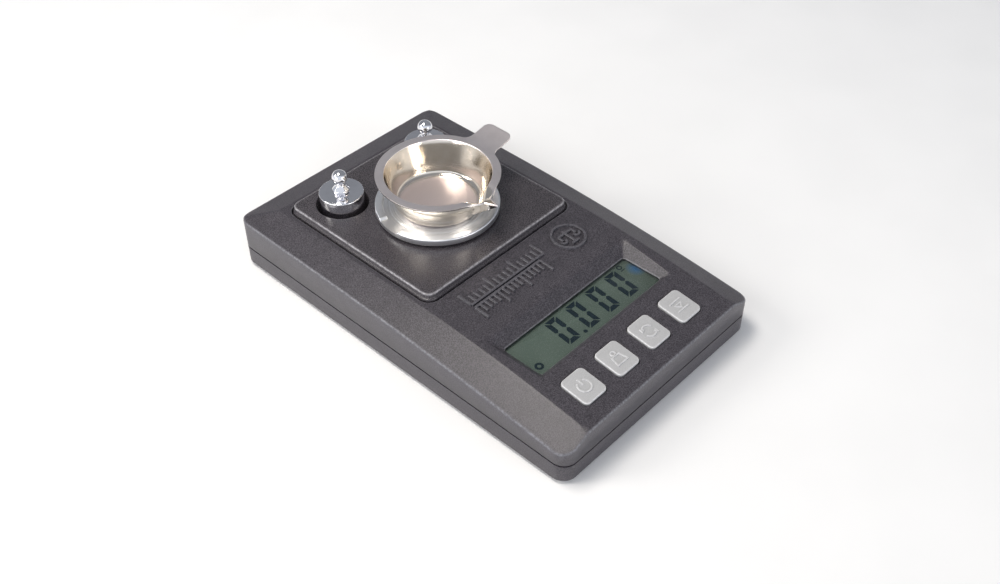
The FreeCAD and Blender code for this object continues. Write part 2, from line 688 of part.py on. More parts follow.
def load_cell():
    """A beam with two bores joined by a slot: it bends like a parallelogram under load."""
    beam = Piece("load_cell")
    beam.pad("XY", "beam_level", "beam_top",
             rectangle("0", "platform_place", "beam_width", "beam_length"))
    middle = "beam_level + beam_height / 2"
    beam.pocket("YZ", "-beam_width", "beam_width",
                circles("beam_bore", ("platform_place - beam_bore_side", middle),
                        ("platform_place + beam_bore_side", middle)))
    beam.pocket("YZ", "-beam_width", "beam_width",
                rectangle("platform_place", middle, "2 * beam_bore_side", "beam_slot"))
    beam.pocket("XY", "beam_level", "beam_top",
                circles("screw_radius + fit_gap", *FIXED_END, *FREE_END))

    gauges = Piece("strain_gauges")

    def two_gauges(sketch):
        for side in ("-", "+"):
            rectangle("0", f"platform_place {side} beam_bore_side", "gauge_width",
                      "gauge_length")(sketch)

    gauges.pad("XY", "beam_top", "beam_top + gauge_thickness", two_gauges)
    gauges.pad("XY", "beam_level - gauge_thickness", "beam_level", two_gauges)

    spacer = Piece("load_cell_spacer")
    spacer.pad("XY", "beam_level - spacer_thickness", "beam_level",
               rectangle("0", f"beam_front + {END_MIDDLE}", "beam_width", f"2 * {END_MIDDLE}"))
    spacer.pocket("XY", "beam_level - spacer_thickness", "beam_level",
                  circles("screw_radius + 2 * fit_gap", *FIXED_END))

    screws = Piece("load_cell_screws")
    screws.pad("XY", "screw_seat_level - screw_head_height", "screw_seat_level",
               circles("screw_head", *FIXED_END))
    screws.pad("XY", "screw_seat_level", "beam_top - screw_short",
               circles("screw_radius", *FIXED_END))

    stop = Piece("overload_stop")
    stop.pad("XY", "floor_level", "beam_level - stop_gap", circles("screw_radius", STOP_PLACE))

    cable = Piece("load_cell_cable")
    start, lane = "beam_width / 2 + fit_gap", "bay_width / 2 + bay_wall + cable_lane"
    cable.pipe("cable_level", [(start, "cable_row"), (lane, "cable_row"), (lane, "cable_end")],
               "YZ", start, circles("wire_radius", ("cable_row", "cable_level")))


def platform_bracket():
    """Arm from the beam's free end back over the beam, with the stem that lifts the platform."""
    foot_top = "beam_top + spacer_thickness"
    arm_top = f"{foot_top} + arm_thickness"
    bracket = Piece("platform_bracket")
    bracket.pad("XY", "beam_top", foot_top,
                rectangle("0", f"beam_back - {END_MIDDLE}", "arm_width", f"2 * {END_MIDDLE}"))
    front = "(platform_place - arm_width / 2)"
    bracket.pad("XY", foot_top, arm_top,
                rectangle("0", f"(beam_back + {front}) / 2", "arm_width",
                          f"beam_back - {front}"))
    centre = ("0", "platform_place")
    bracket.pad("XY", foot_top, f"{arm_top} + stem_shoulder", circles("stem_collar", centre))
    bracket.pad("XY", foot_top, "platform_level + socket_depth - fit_gap",
                circles("stem_radius", centre))
    bracket.pocket("XY", "beam_top", arm_top,
                   circles("screw_radius + 2 * fit_gap", *FREE_END))

    screws = Piece("bracket_screws")
    screws.pad("XY", arm_top, f"{arm_top} + screw_head_height", circles("screw_head", *FREE_END))
    screws.pad("XY", "beam_level + screw_short", arm_top, circles("screw_radius", *FREE_END))


def platform_disc():
    """Turned platform: a raised rim round a level floor, and a hub below that takes the stem."""
    disc = Piece("platform_disc")
    floor, rim = "platform_floor_level - platform_level", "platform_rim_level - platform_level"
    inner = "platform_radius - platform_rim_width"
    disc.turn(polygon(
        ("stem_radius + fit_gap", "-hub_depth"), ("hub_radius", "-hub_depth"),
        ("hub_radius", "0"), ("platform_radius - platform_edge", "0"),
        ("platform_radius", "platform_edge"), ("platform_radius", f"{rim} - platform_edge"),
        ("platform_radius - platform_edge", rim), (f"{inner} + platform_edge / 2", rim),
        (inner, floor), ("0", floor), ("0", "socket_depth"),
        ("stem_radius + fit_gap", "socket_depth")))
    disc.pocket("XY", floor, rim,
                rectangle("-platform_radius", "platform_notch_shift", "2 * platform_rim_width",
                          "platform_notch"))
    disc.place(along="platform_place", up="platform_level")


def weighing_pan():
    """Pressed sheet pan: level foot, flared wall, rim flange, handle tab and pouring spout."""
    pan = Piece("weighing_pan")
    rim = "(pan_rim_level - platform_floor_level)"
    flange = f"({rim} - pan_sheet)"
    pan.turn(polygon(
        ("0", "0"), ("pan_foot_radius", "0"), ("pan_mouth_radius + pan_sheet", flange),
        ("pan_flange_radius", flange), ("pan_flange_radius", rim), ("pan_mouth_radius", rim),
        ("pan_foot_radius - pan_sheet", "pan_sheet"), ("0", "pan_sheet")))
    sheet = number("pan_sheet")
    pan.dress("Fillet", "pan_foot_round", lambda edge: edge.BoundBox.ZMax < SAME_LEVEL)
    pan.dress("Fillet", "pan_foot_hollow",
              lambda edge: abs(edge.BoundBox.ZMin - sheet) < SAME_LEVEL
              and abs(edge.BoundBox.ZMax - sheet) < SAME_LEVEL)
    root = "(pan_flange_radius - tab_root)"
    pan.pad("XY", flange, rim,
            rounded(f"({root} + tab_reach) / 2", "0", f"tab_reach - {root}", "tab_width",
                    "tab_corner"))
    pan.pad("XY", flange, rim,
            polygon(("-spout_width / 2", f"-{root}"), ("0", "-spout_reach"),
                    ("spout_width / 2", f"-{root}")))
    pan.pocket("XY", f"{rim} - spout_groove", rim,
               polygon(("-spout_width / 4", "-pan_mouth_radius"), ("0", "spout_tip - spout_reach"),
                       ("spout_width / 4", "-pan_mouth_radius")))
    pan.place("pan_side", "platform_place", "platform_floor_level")


def calibration_weight(name, side):
    """Steel weight: a cylinder with a collar, a waisted neck and a ball to lift it by."""
    weight = Piece(name)
    ball = "(ball_level - well_level)"
    weight.turn(polygon(
        ("0", "0"), ("weight_radius - weight_edge", "0"), ("weight_radius", "weight_edge"),
        ("weight_radius", "weight_body - weight_edge"),
        ("weight_radius - weight_edge", "weight_body"), ("collar_radius", "weight_body"),
        ("collar_radius", "weight_body + collar_height"),
        ("neck_radius", "weight_body + 2 * collar_height"),
        ("neck_radius", ball), ("0", ball)))
    weight.turn(half_disc("ball_radius", ball))
    weight.place(f"{side} * weight_side", "weight_place", "well_level")


# ---- Batteries ----

NUB_END = "(bay_width / 2 - contact_sheet)"
SPRING_LENGTH = "(bay_width - 2 * contact_sheet - cell_length)"


def battery(name, side):
    """A cell lying across the case, its positive end on the given side."""
    cell = Piece(name)
    body_end = "cell_length - cell_nub"
    cell.turn(polygon(
        ("0", "0"), ("cell_radius - cell_nub", "0"), ("cell_radius", "cell_nub"),
        ("cell_radius", f"{body_end} - cell_nub"), ("cell_radius - cell_nub", body_end),
        ("cell_nub_radius", body_end), ("cell_nub_radius", "cell_length"), ("0", "cell_length")))
    cell.place(f"{side} * ({NUB_END} - cell_length)", f"cell_row - {side} * cell_pitch / 2",
               "cell_level", f"{side} * 90", Vector(0, 1, 0))


def contact(name, side, row, spare_pitches, sprung):
    """Contact plate on an end wall of the bay, level with the cell on the given row."""
    plate = Piece(name)
    plate.pad("XY", "-contact_sheet", "0",
              rectangle("0", f"-{spare_pitches} * cell_pitch / 2", "contact_size",
                        f"contact_size + {spare_pitches} * cell_pitch"))
    if sprung:
        plate.coil(circles("spring_wire", ("spring_radius", "0")), "4 * spring_wire",
                   f"{SPRING_LENGTH} - 2 * spring_wire")
    plate.place(f"{side} * {NUB_END}", row, "cell_level", f"{side} * -90", Vector(0, 1, 0))


def battery_cable(name, row, lane):
    """Wire from a contact along the bay to the underside of the main board."""
    cable = Piece(name)
    start = "(-bay_width / 2 - bay_wall - fit_gap)"
    cable.pipe("cable_level", [(start, row), (lane, row), (lane, "cable_end")],
               "YZ", start, circles("wire_radius", (row, "cable_level")))


def battery_door():
    door = Piece("battery_door")
    door_top = "foot_proud + door_thickness"
    door.pad("XY", "foot_proud", door_top,
             rectangle("0", "cell_row", "door_width", "door_depth"))

    def two_ribs(sketch):
        for side in ("-", "+"):
            rectangle("0", f"cell_row {side} (bay_depth / 2 - contact_sheet)",
                      "bay_width - contact_size", "contact_sheet")(sketch)

    door.pad("XY", door_top, f"{door_top} + door_thickness", two_ribs)
    door.pocket("XY", "foot_proud", "foot_proud + door_thickness / 2",
                rounded("0", "cell_row - door_depth / 2 + contact_size / 2", "2 * contact_size",
                        "contact_size / 2", "door_thickness"))


# ---- The whole scale ----

top_cover()
base_cover()
deck_plate()
case_screws()
rubber_feet()
display()
main_board()
switch_housings()
for key_name, key_place in KEY_PLACES.items():
    key(key_name, key_place)
load_cell()
platform_bracket()
platform_disc()
weighing_pan()
calibration_weight("weight_left", -1)
calibration_weight("weight_right", 1)
FRONT_CELL, REAR_CELL = "cell_row - cell_pitch / 2", "cell_row + cell_pitch / 2"
battery("battery_front", 1)
battery("battery_rear", -1)
contact("contact_link", 1, REAR_CELL, 1, sprung=True)
contact("contact_negative", -1, FRONT_CELL, 0, sprung=True)
contact("contact_positive", -1, REAR_CELL, 0, sprung=False)
INNER_LANE = "-bay_width / 2 - bay_wall - cable_lane"
battery_cable("battery_cable_positive", REAR_CELL, f"{INNER_LANE} - cable_spacing")
battery_cable("battery_cable_negative", FRONT_CELL, INNER_LANE)
battery_door()
doc.recompute()

failed = [item.Name for item in doc.Objects if {"Invalid", "Error"} & set(item.State)]
if failed:
    raise RuntimeError(f"failed objects: {failed}")
for piece in pieces:
    shape = piece.body.Shape
    if shape.isNull() or not shape.isValid() or not shape.Solids:
        raise RuntimeError(f"{piece.body.Label} has no valid solid")

os.makedirs("parts", exist_ok=True)
for piece in pieces:
    piece.body.Shape.exportStep(f"parts/{piece.body.Label}.step")
    print(piece.body.Label, len(piece.body.Shape.Solids), round(piece.body.Shape.Volume, 2))
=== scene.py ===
"""Looks of the digital gram scale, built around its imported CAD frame.

Shapes are worked out in millimetres in the frame's own axes and become metres in piece().
"Level" means a height above the plane that the feet stand on.
"""

import functools
import json
import math

import bmesh
import bpy
from mathutils import Matrix, Vector, geometry
from mathutils.bvhtree import BVHTree


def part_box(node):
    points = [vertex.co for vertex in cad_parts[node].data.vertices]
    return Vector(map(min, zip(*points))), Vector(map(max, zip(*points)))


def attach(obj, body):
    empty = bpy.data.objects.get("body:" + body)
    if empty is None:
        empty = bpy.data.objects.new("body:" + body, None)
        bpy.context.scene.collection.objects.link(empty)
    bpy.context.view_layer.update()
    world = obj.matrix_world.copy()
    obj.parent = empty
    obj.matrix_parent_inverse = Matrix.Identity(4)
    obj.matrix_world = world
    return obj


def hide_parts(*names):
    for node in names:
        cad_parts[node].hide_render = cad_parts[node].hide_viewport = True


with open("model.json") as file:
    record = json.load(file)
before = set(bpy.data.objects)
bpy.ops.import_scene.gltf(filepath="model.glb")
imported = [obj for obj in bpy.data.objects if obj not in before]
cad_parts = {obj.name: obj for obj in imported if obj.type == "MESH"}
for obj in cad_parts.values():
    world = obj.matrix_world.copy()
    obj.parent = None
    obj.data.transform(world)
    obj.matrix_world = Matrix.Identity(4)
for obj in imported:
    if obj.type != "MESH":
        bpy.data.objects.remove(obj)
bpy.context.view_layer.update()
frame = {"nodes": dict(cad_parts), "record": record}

MM = 0.001
RECORD = frame["record"]
SLOT_OF = {part["node"]: part["material_slot"] for part in RECORD["subparts"]}
BODY_OF = {node: body for body, nodes in RECORD["behaviour"]["bodies"].items() for node in nodes}


# ---- Places read from the frame ----

def span(node):
    """Lowest and highest corner of a CAD node, in millimetres."""
    low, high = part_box(node)
    return low / MM, high / MM


def middle_of(node):
    low, high = span(node)
    return (low + high) / 2


def level_on(node, x, y, upward=False):
    """Level of the first face that a vertical line meets on a CAD node, from above or below."""
    mesh = frame["nodes"][node].data
    tree = BVHTree.FromPolygons([v.co for v in mesh.vertices],
                                [face.vertices for face in mesh.polygons])
    side = -1 if upward else 1
    start = Vector((x, y, side * 1000)) * MM
    return tree.ray_cast(start, Vector((0, 0, -side)))[0].z / MM


# sizes that the nodes' boxes don't give
CASE_CORNER = 4.5
WALL = 2.0
BEVEL_WIDTH = 9.5
BACK_BEVEL = 10.2
PANEL_START = 0.0                          # the panel falls in an arc in front of this line
SHOULDER_START = 33.5                      # the same for the bevels' outer edge
FRONT_STATION = -60.0                      # where both arcs' front levels are read
EDGE_INSET = 0.01                          # just inside the case's outline
LEDGE_SPOT = (30, 20)                      # on the ledge that carries the deck

CASE_SIDE, CASE_END = span("top_cover")[1].xy
BEVEL_LINE = CASE_SIDE - BEVEL_WIDTH
BACK_LINE = CASE_END - BACK_BEVEL
PANEL_BACK = level_on("top_cover", 0, span("deck_plate")[1].y + 2)
PANEL_FRONT = level_on("top_cover", BEVEL_LINE - 1, FRONT_STATION)
SHOULDER_BACK = level_on("top_cover", CASE_SIDE - EDGE_INSET, CASE_END / 2)
SHOULDER_FRONT = level_on("top_cover", CASE_SIDE - EDGE_INSET, FRONT_STATION)
SEAM_LEVEL = level_on("top_cover", CASE_SIDE - 1, 0, upward=True)
LEDGE_HIGH = level_on("top_cover", *LEDGE_SPOT)
LEDGE_LOW = level_on("top_cover", *LEDGE_SPOT, upward=True)


# ---- Outlines seen from above ----

def line(*points):
    """A path through points."""
    return [Vector(point) for point in points]


def arc(centre, radius, start, end, count):
    """Points of an arc between two angles in degrees, ends included."""
    points = []
    for place in range(count + 1):
        turn = math.radians(start + (end - start) * place / count)
        points.append(Vector((centre[0] + radius * math.cos(turn),
                              centre[1] + radius * math.sin(turn))))
    return points


def grid(low, high, step):
    """Multiples of a step between two limits."""
    return [place * step for place in range(int(low / step), int(high / step) + 1)]


class RoundRect:
    """A rectangle with round corners. Grown copies keep the count of points, so rings can join."""

    LEAST_CORNER = 1.2

    def __init__(self, centre, half, corner, spacing=1.5, turns=8, runs=None):
        self.centre, self.half, self.corner = centre, half, corner
        self.turns = turns
        straight = [2 * (side - corner) for side in half]
        self.runs = runs or [max(1, round(length / spacing)) for length in straight]

    def grown(self, margin):
        half = (self.half[0] + margin, self.half[1] + margin)
        least = min(self.LEAST_CORNER, self.corner, 0.9 * min(half))
        corner = max(self.corner + margin, least)
        return RoundRect(self.centre, half, corner, turns=self.turns, runs=self.runs)

    def distance(self, x, y):
        """Distance to the outline, negative inside."""
        out_x = abs(x - self.centre[0]) - self.half[0] + self.corner
        out_y = abs(y - self.centre[1]) - self.half[1] + self.corner
        outside = math.hypot(max(out_x, 0), max(out_y, 0))
        return outside + min(max(out_x, out_y), 0) - self.corner

    def loop(self):
        """Points round the outline, anticlockwise."""
        arcs = []
        for quarter, (right, far) in enumerate([(1, -1), (1, 1), (-1, 1), (-1, -1)]):
            turn_centre = (self.centre[0] + right * (self.half[0] - self.corner),
                           self.centre[1] + far * (self.half[1] - self.corner))
            start = (quarter - 1) * 90
            arcs.append(arc(turn_centre, self.corner, start, start + 90, self.turns))
        points = []
        for quarter, corner_points in enumerate(arcs):
            after = arcs[(quarter + 1) % 4][0]
            count = self.runs[1 - quarter % 2]
            points += corner_points
            points += [corner_points[-1].lerp(after, place / count) for place in range(1, count)]
        return points


def disc_outline(centre, radius, turns=16):
    return RoundRect(centre, (radius, radius), radius, turns=turns, runs=[1, 1])


def outline_of(node, corner, margin=0, spacing=1.5, turns=8):
    """Round rectangle about a CAD node's box, grown by a margin."""
    low, high = span(node)
    centre = ((low.x + high.x) / 2, (low.y + high.y) / 2)
    half = ((high.x - low.x) / 2 + margin, (high.y - low.y) / 2 + margin)
    return RoundRect(centre, half, corner, spacing, turns)


# ---- Surfaces ----

class Surface:
    """Points and faces that grow into one closed mesh."""

    def __init__(self):
        self.points, self.faces, self.rub = [], [], {}

    def mark_edge_wear_and_highlight(self, rings):
        """Mark rings that follow a rounded edge for wear and a painted highlight, most in the middle
        of the rounding.
        """
        for place, ring in enumerate(rings):
            share = math.sin(math.pi * (place + 1) / (len(rings) + 1))
            self.rub.update((index, share) for index in ring)

    # Give every point the same share of wear and painted highlight.
    def mark_all_wear_and_highlight(self, share):
        self.rub = dict.fromkeys(range(len(self.points)), share)

    def ring(self, outline, level):
        """Add an outline's points at one level."""
        start = len(self.points)
        self.points += [(x, y, level) for x, y in outline]
        return list(range(start, len(self.points)))

    def stack(self, outline, steps):
        """Rings that follow an outline; each step is a margin and a level."""
        return [self.ring(outline.grown(margin).loop(), level) for margin, level in steps]

    def bridge(self, first, second):
        for place in range(len(first)):
            after = (place + 1) % len(first)
            self.faces.append((first[place], first[after], second[after], second[place]))

    def chain(self, *rings):
        for first, second in zip(rings, rings[1:]):
            self.bridge(first, second)

    def cap(self, ring):
        self.faces.append(tuple(ring))

    def close(self, *rings):
        """Chain rings and cap both ends."""
        self.chain(*rings)
        self.cap(rings[0])
        self.cap(rings[-1])


class Sheet(Surface):
    """A sheet with openings, triangulated as seen from above, with an inside behind it.

    outlines: the outer outline and then the openings, each with the margins of its rings.
    level(x, y): the outside's level. under(x, y): the inside's point there.
    hollow(x, y): whether the inside has faces there.
    """

    def __init__(self, outlines, spots, level, under, hollow):
        super().__init__()
        self.under, self.partners = under, {}
        points, edges = [], []
        given = [[outline.grown(margin).loop() for margin in margins]
                 for outline, margins in outlines]
        for ring in sum(given, []):
            indexes = list(range(len(points), len(points) + len(ring)))
            points += ring
            edges += zip(indexes, indexes[1:] + indexes[:1])
        points += line(*spots)
        self.spots, _, triangles, origins, _, _ = geometry.delaunay_2d_cdt(points, edges, [], 0, 1e-6)
        self.points = [(*spot, level(*spot)) for spot in self.spots]

        place_of = {source: place for place, sources in enumerate(origins) for source in sources}
        counter = iter(range(len(points)))
        self.rings = [[[place_of[next(counter)] for _ in ring] for ring in rings]
                      for rings in given]

        border, *openings = [outline for outline, _ in outlines]
        for corners in triangles:
            spot = sum((self.spots[index] for index in corners), Vector((0, 0))) / 3
            if border.distance(*spot) > 0 or any(gap.distance(*spot) < 0 for gap in openings):
                continue
            self.faces.append(tuple(corners))
            if hollow(*spot):
                self.faces.append(tuple(self.inside(corners[::-1])))

    def inside(self, ring):
        """The inside's points behind points of the outside, each made once."""
        for index in ring:
            if index not in self.partners:
                self.points.append(self.under(*self.spots[index]))
                self.partners[index] = len(self.points) - 1
        return [self.partners[index] for index in ring]


def rounded_edge(distance, radius):
    """How far a rounded edge has dropped at a distance inside it."""
    run = min(max(radius - distance, 0), radius)
    return radius - math.sqrt(radius ** 2 - run ** 2)


def edge_insets(radius, steps=6):
    """Distances from an edge at which rings follow its rounding."""
    return [radius * (1 - math.cos(math.pi / 2 * step / steps)) for step in range(steps + 1)]


def eased(corners, steps=5):
    """A profile whose corners, given as radius, height and rounding, become arcs."""
    points = []
    for place, (radius, height, rounding) in enumerate(corners):
        corner = Vector((radius, height))
        if not rounding or place in (0, len(corners) - 1):
            points.append(corner)
            continue
        before = (Vector(corners[place - 1][:2]) - corner).normalized()
        after = (Vector(corners[place + 1][:2]) - corner).normalized()
        half_angle = before.angle(after) / 2
        centre = corner + (before + after).normalized() * rounding / math.sin(half_angle)
        reach = rounding / math.tan(half_angle)
        start, end = corner + before * reach - centre, corner + after * reach - centre
        points += [centre + start.slerp(end, step / steps) * rounding for step in range(steps + 1)]
    return points


def even_turn(count):
    return [2 * math.pi * place / count for place in range(count)]


def lathe(surface, centre, profile, azimuths, bend=None):
    """Turn a profile of radius and level about a vertical axis; bend may change the levels."""
    rings = []
    for radius, height in profile:
        start = len(surface.points)
        if radius < 1e-6:
            surface.points.append((centre[0], centre[1], height))
            rings.append([start] * len(azimuths))
            continue
        for azimuth in azimuths:
            level = bend(radius, height, azimuth) if bend else height
            surface.points.append((centre[0] + radius * math.cos(azimuth),
                                   centre[1] + radius * math.sin(azimuth), level))
        rings.append(list(range(start, len(surface.points))))
    for first, second in zip(rings, rings[1:]):
        for place in range(len(azimuths)):
            after = (place + 1) % len(azimuths)
            corners = (first[place], first[after], second[after], second[place])
            surface.faces.append(tuple(dict.fromkeys(corners)))


def stroke(surface, path, width, low, high, place_on, closed=False, bevel=0.1):
    """A raised line of one width along a path, set on a surface by place_on(x, y, up)."""
    before_all = path[-1] if closed else 2 * path[0] - path[1]
    after_all = path[0] if closed else 2 * path[-1] - path[-2]
    sections = []
    for before, point, after in zip([before_all, *path], path, [*path[1:], after_all]):
        outward = (after - point).normalized()
        along = ((point - before).normalized() + outward).normalized()
        side = Vector((-along.y, along.x))
        stretch = 1 / max(along.dot(outward), 0.5)
        start = len(surface.points)
        for reach, height in ((1, low), (1, high - bevel), (1 - 2 * bevel / width, high),
                              (2 * bevel / width - 1, high), (-1, high - bevel), (-1, low)):
            spot = point + side * (reach * width / 2 * stretch)
            surface.points.append(tuple(place_on(spot.x, spot.y, height)))
        sections.append(list(range(start, start + 6)))
    if closed:
        surface.chain(*sections, sections[0])
    else:
        surface.close(*sections)


def plate(surface, outline, low, high):
    """A flat plate with upright sides."""
    surface.close(surface.ring(outline, low), surface.ring(outline, high))


# ---- Materials ----

class Finish:
    """A Principled material whose procedural nodes are added one by one."""

    def __init__(self, name, metallic=0.0, **settings):
        self.material = bpy.data.materials.new(name)
        self.material.use_nodes = True
        self.nodes = self.material.node_tree.nodes
        self.link = self.material.node_tree.links.new
        self.shader = self.nodes["Principled BSDF"]
        self.shader.inputs["Metallic"].default_value = metallic
        for label, value in settings.items():
            self.socket(self.shader, label).default_value = value
        self.place = self.nodes.new("ShaderNodeTexCoord").outputs["Object"]
        self.relief = None

    def socket(self, node, label):
        """A node's input, by its label in small letters with _ for spaces."""
        return next(item for item in node.inputs
                    if item.name.lower() == label.replace("_", " "))

    def fill(self, socket, value):
        """Feed a socket from another node's output, or set its number."""
        if isinstance(value, bpy.types.NodeSocket):
            self.link(value, socket)
        else:
            socket.default_value = value

    def node(self, kind, **inputs):
        made = self.nodes.new(kind)
        for label, value in inputs.items():
            self.fill(self.socket(made, label), value)
        return made

    def stretched(self, x, y, up):
        """Coordinates scaled on each axis, for grain with a direction."""
        made = self.node("ShaderNodeMapping", vector=self.place, scale=(x, y, up))
        return made.outputs["Vector"]

    def noise(self, size, detail=3.0, roughness=0.6, place=None):
        """Cloudy noise with features of a size in millimetres."""
        made = self.node("ShaderNodeTexNoise", vector=place or self.place,
                         scale=1 / (size * MM), detail=detail, roughness=roughness)
        return made.outputs["Fac"]

    def spread(self, factor, low, high, start=0.3, end=0.7):
        """Map a factor between start and end to the range from low to high."""
        made = self.node("ShaderNodeMapRange", value=factor, from_min=start, from_max=end,
                         to_min=low, to_max=high)
        return made.outputs["Result"]

    def times(self, first, second):
        made = self.nodes.new("ShaderNodeMath")
        made.operation = "MULTIPLY"
        self.link(first, made.inputs[0])
        self.link(second, made.inputs[1])
        return made.outputs["Value"]

    def mix(self, factor, first, second):
        """Blend two colours, given as numbers or as another blend."""
        made = self.nodes.new("ShaderNodeMix")
        made.data_type = "RGBA"
        self.link(factor, made.inputs["Factor"])
        colours = [item for item in made.inputs if item.type == "RGBA"]
        for socket, value in zip(colours, (first, second)):
            self.fill(socket, value if isinstance(value, bpy.types.NodeSocket) else (*value, 1))
        return next(item for item in made.outputs if item.type == "RGBA")

    def clouded(self, cloud, dark, light):
        return self.mix(self.spread(cloud, 0, 1), dark, light)

    def wear_and_highlight_factor(self):
        """A factor that rises unevenly on edges that hands wear and on edges given a painted
        highlight, as marked in the mesh.
        """
        mark = self.nodes.new("ShaderNodeAttribute")
        mark.attribute_name = "rub"
        uneven = self.spread(self.noise(0.7, detail=4.0), 0.35, 1, 0.4, 0.6)
        return self.times(self.spread(mark.outputs["Fac"], 0, 1, 0.2, 0.9), uneven)

    def radius(self, centre):
        """Distance from a vertical axis, in metres."""
        made = self.node("ShaderNodeMapping", vector=self.place,
                         location=(-centre[0] * MM, -centre[1] * MM, 0), scale=(1, 1, 0))
        length = self.nodes.new("ShaderNodeVectorMath")
        length.operation = "LENGTH"
        self.link(made.outputs["Vector"], length.inputs[0])
        return length.outputs["Value"]

    def rings(self, centre, pitch):
        """Turning marks: noise that changes only with the distance from an axis."""
        joined = self.node("ShaderNodeCombineXYZ", x=self.radius(centre))
        return self.noise(pitch, detail=2.0, place=joined.outputs["Vector"])

    def colour(self, value):
        self.link(value, self.shader.inputs["Base Color"])

    def roughness(self, value):
        self.link(value, self.shader.inputs["Roughness"])

    def bump(self, height, depth):
        """Add relief of a depth in millimetres; each call adds to the one before."""
        made = self.node("ShaderNodeBump", height=height, distance=depth * MM, strength=1.0)
        if self.relief:
            self.link(self.relief, made.inputs["Normal"])
        self.relief = made.outputs["Normal"]
        self.link(self.relief, self.shader.inputs["Normal"])


def moulded(name, dark, light, wear_and_highlight_colour, smoothest, roughest, grain, depth):
    """Moulded plastic with an eroded grain, paler where its edges are marked: part wear, part painted
    highlight.
    """
    finish = Finish(name, specular_ior_level=0.5)
    fine = finish.noise(grain, detail=5.0, roughness=0.7)
    broad = finish.noise(grain * 14, detail=2.0)
    mottled = finish.mix(finish.spread(fine, 0, 1, 0.42, 0.58), dark, light)
    shaded = finish.mix(finish.spread(broad, 0, 0.25), mottled, dark)
    # the pale edge colour is part wear and part painted highlight along the edges
    finish.colour(finish.mix(finish.wear_and_highlight_factor(), shaded, wear_and_highlight_colour))
    finish.roughness(finish.spread(fine, smoothest, roughest))
    finish.bump(fine, depth)
    finish.bump(finish.noise(grain * 3, detail=2.0), depth * 0.6)
    return finish


def plain(name, colour, smoothest=0.35, roughest=0.5):
    """Smooth moulded plastic, rubber or enamel with slight mottling."""
    dark = [channel * 0.85 for channel in colour]
    # pale edge colour for wear and painted highlight, where a mesh marks them
    wear_and_highlight_colour = [min(channel * 1.3 + 0.02, 1) for channel in colour]
    return moulded(name, dark, colour, wear_and_highlight_colour, smoothest, roughest, grain=0.3, depth=0.01)


def metal(name, dark, light, smoothest, roughest, stretch=None):
    """Metal with soft variation of tint and polish."""
    finish = Finish(name, metallic=1.0)
    fine = finish.noise(0.2, place=stretch and finish.stretched(*stretch))
    finish.colour(finish.clouded(finish.noise(6.0, detail=2.0), dark, light))
    finish.roughness(finish.spread(fine, smoothest, roughest))
    finish.bump(fine, 0.002)
    return finish


def weight_chrome(name):
    finish = metal(name, (0.76, 0.76, 0.79), (0.84, 0.84, 0.87), 0.05, 0.1)
    finish.bump(finish.noise(2.5, detail=1.0), 0.003)
    return finish


def pan_metal(name):
    """Nickel: mirror inside the bowl, satin on the flange and the tab. The bowl's floor is tinted
    mauve and its wall champagne: painted reflections.
    """
    centre = middle_of("platform_disc")
    rim = span("weighing_pan")[1].z
    finish = Finish(name, metallic=1.0)
    brushed = finish.noise(0.5, place=finish.stretched(1, 12, 12))
    level = finish.node("ShaderNodeSeparateXYZ", vector=finish.place).outputs["Z"]
    on_flange = finish.spread(level, 0, 1, (rim - 0.35) * MM, (rim - 0.1) * MM)
    broad = finish.spread(finish.noise(5.0, detail=2.0), 0, 1)
    # painted reflections: a champagne tint on the wall and a darker mauve tint on the floor
    wall = finish.mix(broad, (0.82, 0.75, 0.66), (0.90, 0.84, 0.76))
    on_wall = finish.spread(finish.radius(centre), 0, 1, PAN_FLOOR * MM, PAN_FOOT * MM)
    bowl = finish.mix(on_wall, (0.66, 0.58, 0.57), wall)
    flange = finish.mix(broad, (0.84, 0.77, 0.76), (0.92, 0.85, 0.84))
    finish.colour(finish.mix(on_flange, bowl, flange))
    inside = finish.spread(on_wall, 0.52, 0.12, 0, 1)
    polished = finish.spread(finish.rings(centre, 0.6), 0.9, 1.1)
    satin = finish.spread(brushed, 0.3, 0.42)
    blend = finish.node("ShaderNodeMix", factor=on_flange, b=satin)
    finish.link(finish.times(inside, polished), blend.inputs["A"])
    finish.roughness(blend.outputs["Result"])
    finish.bump(finish.rings(centre, 0.4), 0.004)
    finish.bump(brushed, 0.002)
    return finish


def platform_aluminium(name):
    """Turned aluminium with fine concentric marks."""
    finish = Finish(name, metallic=1.0)
    marks = finish.rings(middle_of("platform_disc"), 0.25)
    broad = finish.noise(7.0, detail=2.0)
    finish.colour(finish.clouded(broad, (0.84, 0.85, 0.87), (0.92, 0.93, 0.95)))
    finish.roughness(finish.spread(marks, 0.28, 0.42))
    finish.bump(marks, 0.012)
    finish.bump(finish.noise(0.15), 0.004)
    return finish


def display_cell(name):
    """Reflective liquid crystal: grey-green, with a blue backlight leaking at one side."""
    high = span("display_lens")[1]
    glow = (high.x - 1.3, middle_of("display_lens").y + 2)
    finish = Finish(name, specular_ior_level=0.3)
    cloud = finish.noise(9.0, detail=1.0)
    ground = finish.clouded(cloud, (0.118, 0.150, 0.128), (0.138, 0.170, 0.148))
    near_glow = finish.spread(finish.radius(glow), 1, 0, 0.5 * MM, 3.5 * MM)
    finish.colour(finish.mix(near_glow, ground, (0.06, 0.17, 0.36)))
    finish.roughness(finish.spread(finish.noise(0.4), 0.22, 0.3))
    finish.bump(finish.noise(0.15), 0.001)
    return finish


def segment_ink(name):
    """The dark state of the liquid crystal."""
    finish = Finish(name, specular_ior_level=0.2)
    finish.colour(finish.clouded(finish.noise(3.0), (0.005, 0.014, 0.022), (0.009, 0.022, 0.034)))
    finish.roughness(finish.spread(finish.noise(0.4), 0.3, 0.4))
    return finish


